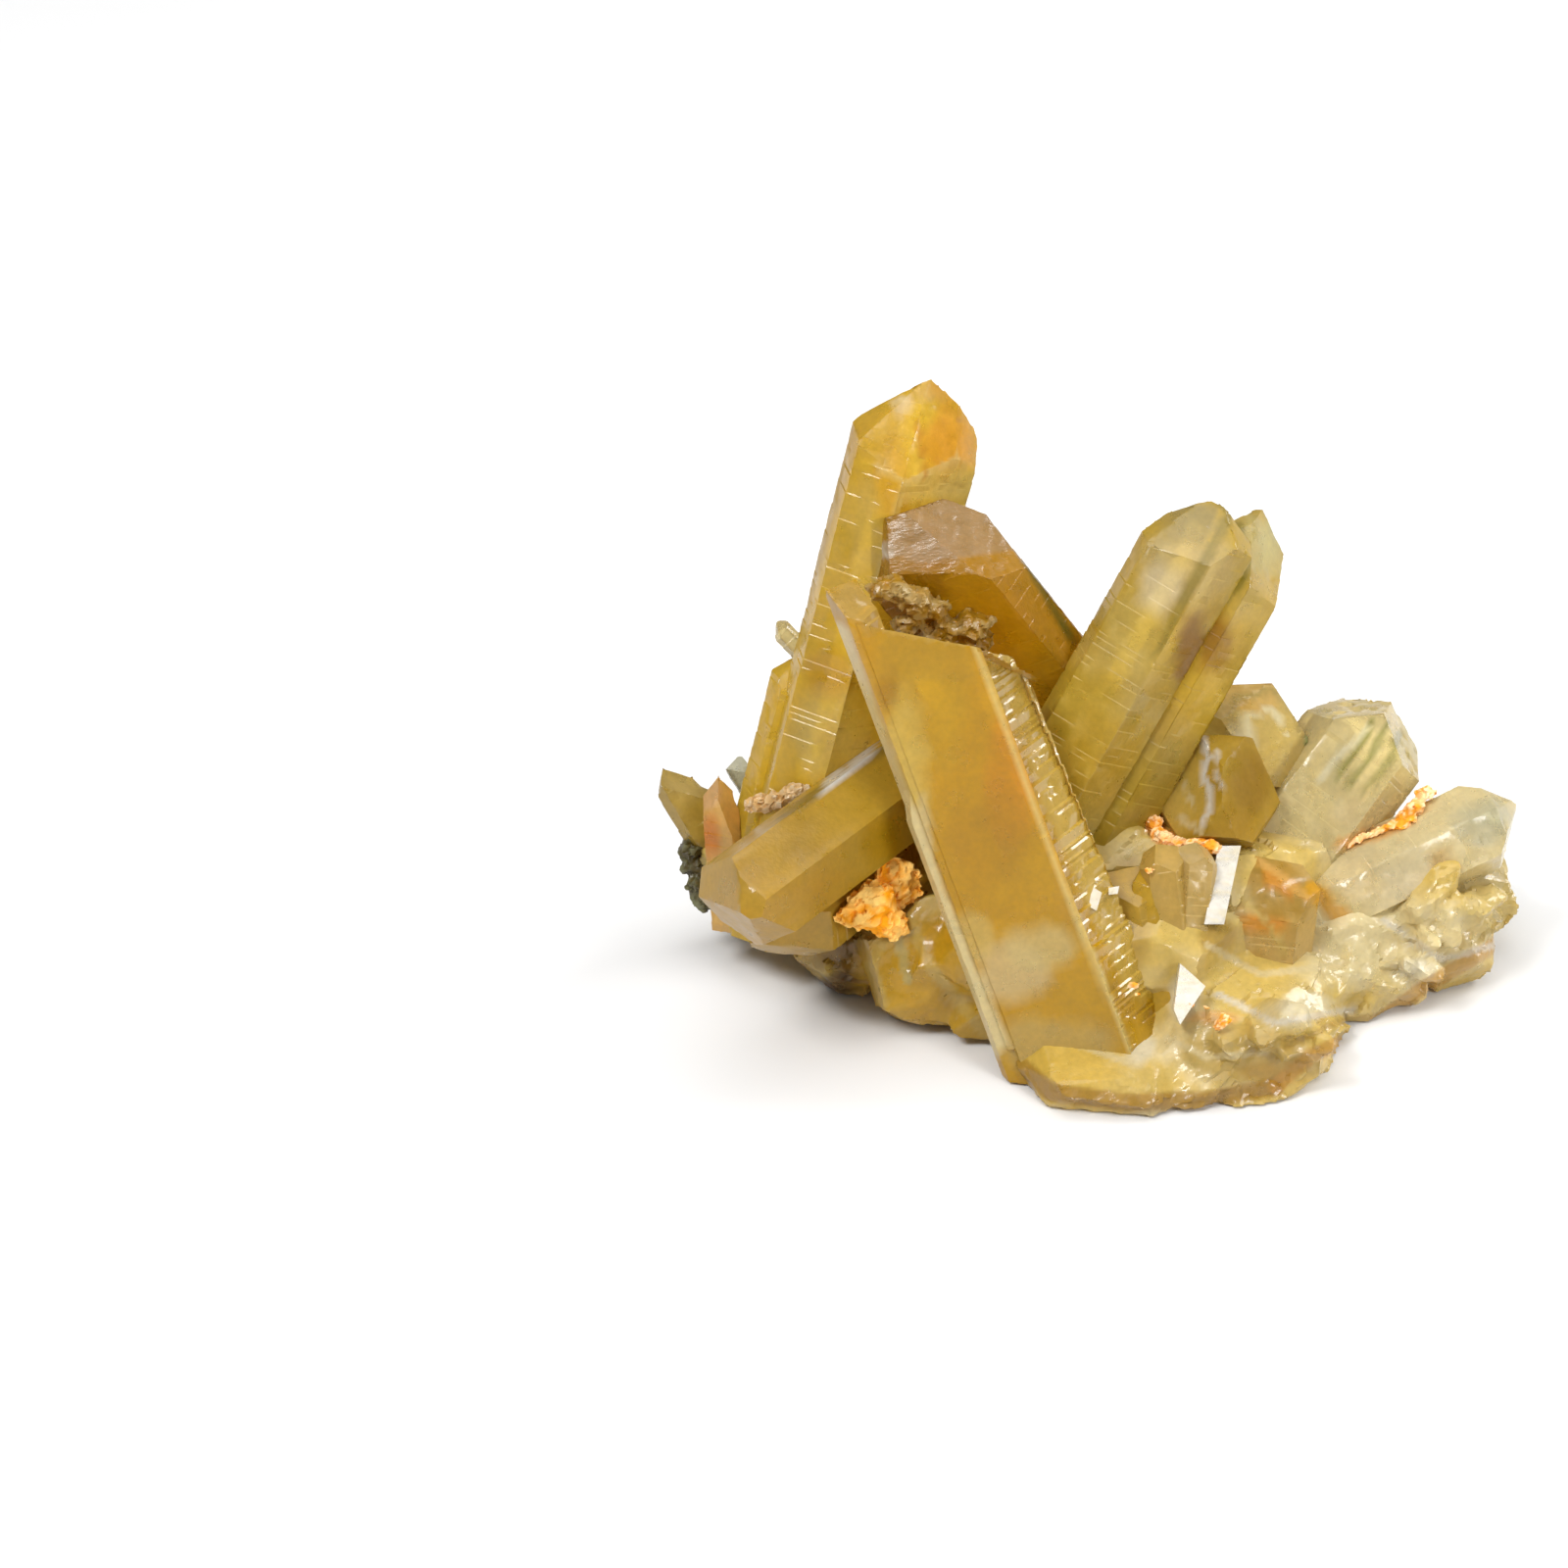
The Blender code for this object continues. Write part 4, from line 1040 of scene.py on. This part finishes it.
def plate(name, corners, depth, lean, material):
    """A bright flat face of a small crystal, as a thin striated plate in the front view, painted white as
    a painted reflection.
    """
    level = (FRONT - UP_IN_VIEW * lean).normalized()
    places = [place_from_view(x, v, depth) for x, v in corners]
    first = places[0]
    centre = sum(places, Vector()) / len(places)
    planes = [(first, level, "top"), (first - level * PLATE_THICKNESS, -level, "foot")]
    for here, following in zip(places, places[1:] + places[:1]):
        out = (following - here).cross(FRONT).normalized()
        if (here - centre).dot(out) < 0.0:
            out.negate()
        planes.append((here, out, "side"))
    body = body_from(planes, first - level)
    for direction, pitch in PLATE_CUTS:
        for step in range(-40, 60):
            cut(body, direction * (step * pitch + first.dot(direction) - 4.0), direction, keep_both=True)
    bmesh.ops.triangulate(body, faces=body.faces)
    places, faces = taken_apart(body)
    places = np.array(places)
    x, v = seen_place(places)
    rough = value_noise(np.stack([0.3 * x, v, 0.0 * x], axis=1), 0.35, 6) - 0.5
    places = places + np.array(level) * (0.14 * rough)[:, None]
    # The plate's white colour is a painted reflection, blended with a little cream
    white = np.tile(linear(WHITE), (len(places), 1))
    colours = blend_in(white, CREAM, ramp(rough, 0.0, 0.3) * 0.5)
    new_piece(name, places, faces, colours, material)


def joined_lumps(shapes):
    """Vertices and faces of several broken lumps."""
    return gathered([taken_apart(body_from(lump_planes(centre, radii, seed, count), Vector(centre)))
                     for centre, radii, seed, count in shapes])


def rim_shapes():
    """The broken lumps along the lower right rim of the base."""
    chance = random.Random(77)
    shapes = []
    for index in range(RIM_LUMPS):
        share = index / (RIM_LUMPS - 1)
        place = RIM_START.lerp(RIM_END, share)
        place.y -= RIM_BOW * math.sin(math.pi * share)
        place += Vector((chance.uniform(-1.0, 1.0), chance.uniform(-1.0, 1.0), chance.uniform(0.0, 2.4)))
        size = chance.uniform(2.4, 4.2)
        shapes.append((place[:], (1.2 * size, size, 0.9 * size), 100 + index, 13))
    return shapes


# The base's skin: its fineness, its sizes of facets with their seeds, and the foot of a small crystal
BASE_VOXEL = 0.42
BASE_FACETS = ((5.5, 3), (2.6, 8), (1.1, 13))
DRUSE_FOOT = 1.5


def remeshed(places, faces, voxel):
    """One closed skin round overlapping bodies: its points, their normals and its triangles."""
    mesh = bpy.data.meshes.new("rough_base_draft")
    mesh.from_pydata([tuple(c * MM for c in p) for p in places], [], faces)
    draft = placed("rough_base_draft", mesh)
    grid = draft.modifiers.new("skin", "REMESH")
    grid.mode = "VOXEL"
    grid.voxel_size = voxel * MM
    evaluated = draft.evaluated_get(bpy.context.evaluated_depsgraph_get()).to_mesh()
    points = vectors_of(evaluated.vertices, "co").astype(float) / MM
    normals = vectors_of(evaluated.vertices, "normal").astype(float)
    skin = [list(f.vertices) for f in evaluated.polygons]
    dropped([draft])
    return points, normals, [t for f in skin for t in ((f[0], f[1], f[2]), (f[0], f[2], f[3]))]


def broken_relief(points):
    """How far the base's skin stands out: calm under the front crystal, rough at its rim and right."""
    rim = np.clip(ramp(3.5 - points[:, 2], 0.0, 2.5) + ramp(points[:, 0], 22.0, 34.0), 0.0, 1.0)
    rough = 0.25 + 0.75 * rim
    away = ramp(points[:, 0], 4.0, 10.0) + ramp(points[:, 1], -12.0, -8.0)
    large, middle, fine = [facets(points, size, seed) for size, seed in BASE_FACETS]
    depth = (0.06 + 0.44 * np.clip(away, 0.0, 1.0)) * large
    depth += rough * (0.3 * middle + 0.1 * fine)
    depth += 0.2 * (rough_noise(points, 5.0, 2, 31) - 0.5)
    depth = np.clip(depth, -1.0, 0.6) - 0.3
    return depth * ramp(points[:, 2], 0.0, 0.6)


def rough_base(material):
    """The broken base: lobes and rim lumps in one skin, broken up into small tilted faces."""
    lumps = joined_lumps([*LOBES, *rim_shapes()])
    druses = [druse_shapes(*values) for values in FRONT_DRUSES]
    points, normals, triangles = remeshed(*gathered([lumps, *druses]), BASE_VOXEL)
    points = points + normals * broken_relief(points)[:, None]
    values = look(80, (230, 198, 104), cloud=5.0, clouds=0.7, darks=0.28, cloud_colour=(240, 224, 176))
    colour = painted("rough_base", points, values)
    new_piece("rough_base", points, triangles, colour, material, crisp=30.0)


def granular(name, shapes, voxel, grain, colour, other, material):
    """A sugary, broken surface over a few lumps, flecked in two colours."""
    points, normals, triangles = remeshed(*joined_lumps(shapes), voxel)
    height = facets(points, grain, 21)
    points = points + normals * (0.45 * grain * height - 0.1)[:, None]
    values = look(90, colour, cloud=2.0, clouds=0.9, darks=0.9, cloud_colour=other)
    tint = blend_in(painted(name, points, values), other, ramp(height, 0.1, 0.5) * 0.6)
    new_piece(name, points, triangles, tint, material, crisp=20.0)


def patch_shapes():
    """The lumps of the broken patch on the stub behind the front crystal."""
    chance = random.Random(21)
    shapes = []
    for index in range(PATCH_LUMPS):
        along = index / (PATCH_LUMPS - 1)
        shift = Vector((chance.uniform(-1.2, 1.2), chance.uniform(-0.5, 0.5), chance.uniform(-2.0, 2.0)))
        size = chance.uniform(0.9, 1.9)
        centre = PATCH_START.lerp(PATCH_END, along) + shift
        shapes.append((centre, (size, size, 0.8 * size), 40 + index, 10))
    return shapes


def crust_along(bends, count, size, seed):
    """Small lumps strung along a bent line of the front view."""
    chance = random.Random(seed)
    shapes = []
    for index in range(count):
        share = index / max(count - 1, 1) * (len(bends) - 1)
        leg = min(int(share), len(bends) - 2)
        right, up, depth = Vector(bends[leg]).lerp(Vector(bends[leg + 1]), share - leg)
        place = place_from_view(right + chance.uniform(-0.15, 0.15), up + chance.uniform(-0.2, 0.2), depth)
        width = size * chance.uniform(0.7, 1.4)
        shapes.append((place, (1.3 * width, width, 0.8 * width), seed + index, 12))
    return shapes


def bead_shapes():
    """The small dark beads at the far left."""
    places = [Vector((-40.6 + 0.5 * index, 6.4 - 0.5 * index, 11.4 - 1.6 * index)) for index in range(4)]
    return [(place, (1.3, 1.3, 1.2), 60 + index, 12) for index, place in enumerate(places)]


def druse_shapes(centre, radii, azimuths, heights, count, seed):
    """Vertices and faces of small crystals that stand on a lobe and point outwards."""
    chance = random.Random(seed)
    middle = Vector(centre)
    crystals = []
    for index in range(count):
        azimuth = math.radians(chance.uniform(*azimuths))
        height = math.radians(chance.uniform(*heights))
        level = math.cos(height)
        out = Vector((math.cos(azimuth) * level, math.sin(azimuth) * level, math.sin(height)))
        root = middle + Vector([0.84 * out[i] * radii[i] for i in range(3)])
        lean = Vector([chance.uniform(-0.35, 0.35) for _ in range(3)])
        size = chance.uniform(1.0, 2.2)
        tip = root + (out + lean).normalized() * size * chance.uniform(1.7, 3.2)
        turn, sides, tops = plain_values(root, tip, size, seed + index)
        body = body_from(crystal_planes(root, tip, turn, sides, tops, DRUSE_FOOT), root)
        crystals.append(taken_apart(body))
    return gathered(crystals)


def small_crystals(material):
    """The patches of small crystals at the back."""
    for label, values in BACK_DRUSES.items():
        places, faces = druse_shapes(*values)
        faces = [(f[0], f[i], f[i + 1]) for f in faces for i in range(1, len(f) - 1)]
        places = np.array(places)
        colours = painted(label, places, look(values[-1], (212, 184, 108), clouds=0.4))
        new_piece(label, places, faces, colours, material)


# The stage

FLOOR_HALF = 4.0
FLOOR_LEVEL = -0.0003
FLOOR_COLOUR = (0.68, 0.68, 0.68)
WORLD_STRENGTH = 0.22
LIGHT_AIM = Vector((0.0, 0.0, 0.02))
# Lamps: place and width in metres, power in watts
LAMPS = {
    "main": ((0.69, 0.29, 0.46), 0.46, 5.6),
    "overhead": ((-0.1, -0.05, 0.95), 1.0, 6.2),
    "fill_left": ((-0.47, -0.47, 0.84), 0.36, 7.8),
    "fill_right": ((0.55, -0.7, 0.55), 0.36, 5.4),
}


def camera():
    """The camera as the photo was taken, 30 degrees above level."""
    lens = bpy.data.cameras.new("camera")
    lens.lens = CAMERA_LENS
    lens.sensor_width = 36.0
    lens.clip_start = 0.01
    eye = placed("camera", lens)
    aim = CAMERA_AIM - CENTRE
    eye.location = (aim + FRONT * CAMERA_DISTANCE) * MM
    eye.rotation_euler = (-FRONT).to_track_quat("-Z", "Y").to_euler()
    bpy.context.scene.camera = eye


def soft_light(name, place, size, power):
    """A round lamp in metres and watts, aimed at the cluster."""
    lamp = bpy.data.lights.new(name, "AREA")
    lamp.shape = "DISK"
    lamp.size = size
    lamp.energy = power
    light = placed(name, lamp)
    light.location = place
    light.rotation_euler = (LIGHT_AIM - Vector(place)).to_track_quat("-Z", "Y").to_euler()


def stage():
    """A pale floor just under the cluster, a dim white world and four soft lamps."""
    floor_mesh = bpy.data.meshes.new("floor")
    turns = ((-1, -1), (1, -1), (1, 1), (-1, 1))
    corners = [(x * FLOOR_HALF, y * FLOOR_HALF, FLOOR_LEVEL) for x, y in turns]
    floor_mesh.from_pydata(corners, [], [(0, 1, 2, 3)])
    material = bpy.data.materials.new("pale_floor")
    tree, shader = nodes_of(material)
    shader.inputs["Base Color"].default_value = (*FLOOR_COLOUR, 1.0)
    shader.inputs["Roughness"].default_value = 0.7
    floor_mesh.materials.append(material)
    floor = placed("floor", floor_mesh)
    world = bpy.data.worlds.new("studio")
    world.use_nodes = True
    background = world.node_tree.nodes["Background"]
    background.inputs["Color"].default_value = (1.0, 1.0, 1.0, 1.0)
    background.inputs["Strength"].default_value = WORLD_STRENGTH
    bpy.context.scene.world = world
    for name, values in LAMPS.items():
        soft_light(name, *values)
    bpy.context.scene.view_settings.view_transform = "Standard"


PALE_PIECES = ("pale_blunt", "pale_broken", "pale_leaf", "pale_right", "rim_point_a", "rim_point_b",
               "rim_point_c", "pale_sliver", "grey_flake", "back_d")
# Granular skins, with one row for all the crusts along lines: voxel, grain size, two colours, material
GRAINS = {
    "sugary_patch": (0.25, 0.9, (180, 132, 12), (202, 176, 112), "grainy_quartz"),
    "rust_crust": (0.25, 0.8, (246, 160, 22), (250, 208, 120), "iron_stained_crust"),
    "cream_crust": (0.25, 0.6, (238, 196, 130), (248, 232, 196), "grainy_quartz"),
    "crust_line": (0.2, 0.5, (232, 150, 40), (248, 224, 180), "iron_stained_crust"),
    "dark_beads": (0.25, 0.7, (84, 72, 26), (150, 150, 110), "grainy_quartz"),
}


def main():
    """Builds every piece first, then the stage, and the camera last."""
    materials = {name: quartz_material(name, *values) for name, values in MATERIALS.items()}
    kinds = dict.fromkeys(PALE_PIECES, "pale_quartz")
    kinds["middle_stub"] = "pitted_quartz"
    crystal_pieces(lambda name: materials[kinds.get(name, "amber_quartz")])
    front_crystal(materials["amber_quartz"], materials["glossy_quartz"])
    rough_base(materials["broken_quartz"])
    for name, values in PLATES.items():
        plate(name, *values, materials["reflection_plate_quartz"])
    grains = {"sugary_patch": patch_shapes(), "rust_crust": RUST_CRUST, "cream_crust": CREAM_CRUST}
    grains.update({name: crust_along(*values) for name, values in CRUST_LINES.items()})
    grains["dark_beads"] = bead_shapes()
    for name, shapes in grains.items():
        *values, kind = GRAINS.get(name, GRAINS["crust_line"])
        granular(name, shapes, *values, materials[kind])
    small_crystals(materials["pale_quartz"])
    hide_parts("crystal_cluster")
    stage()
    camera()


main()
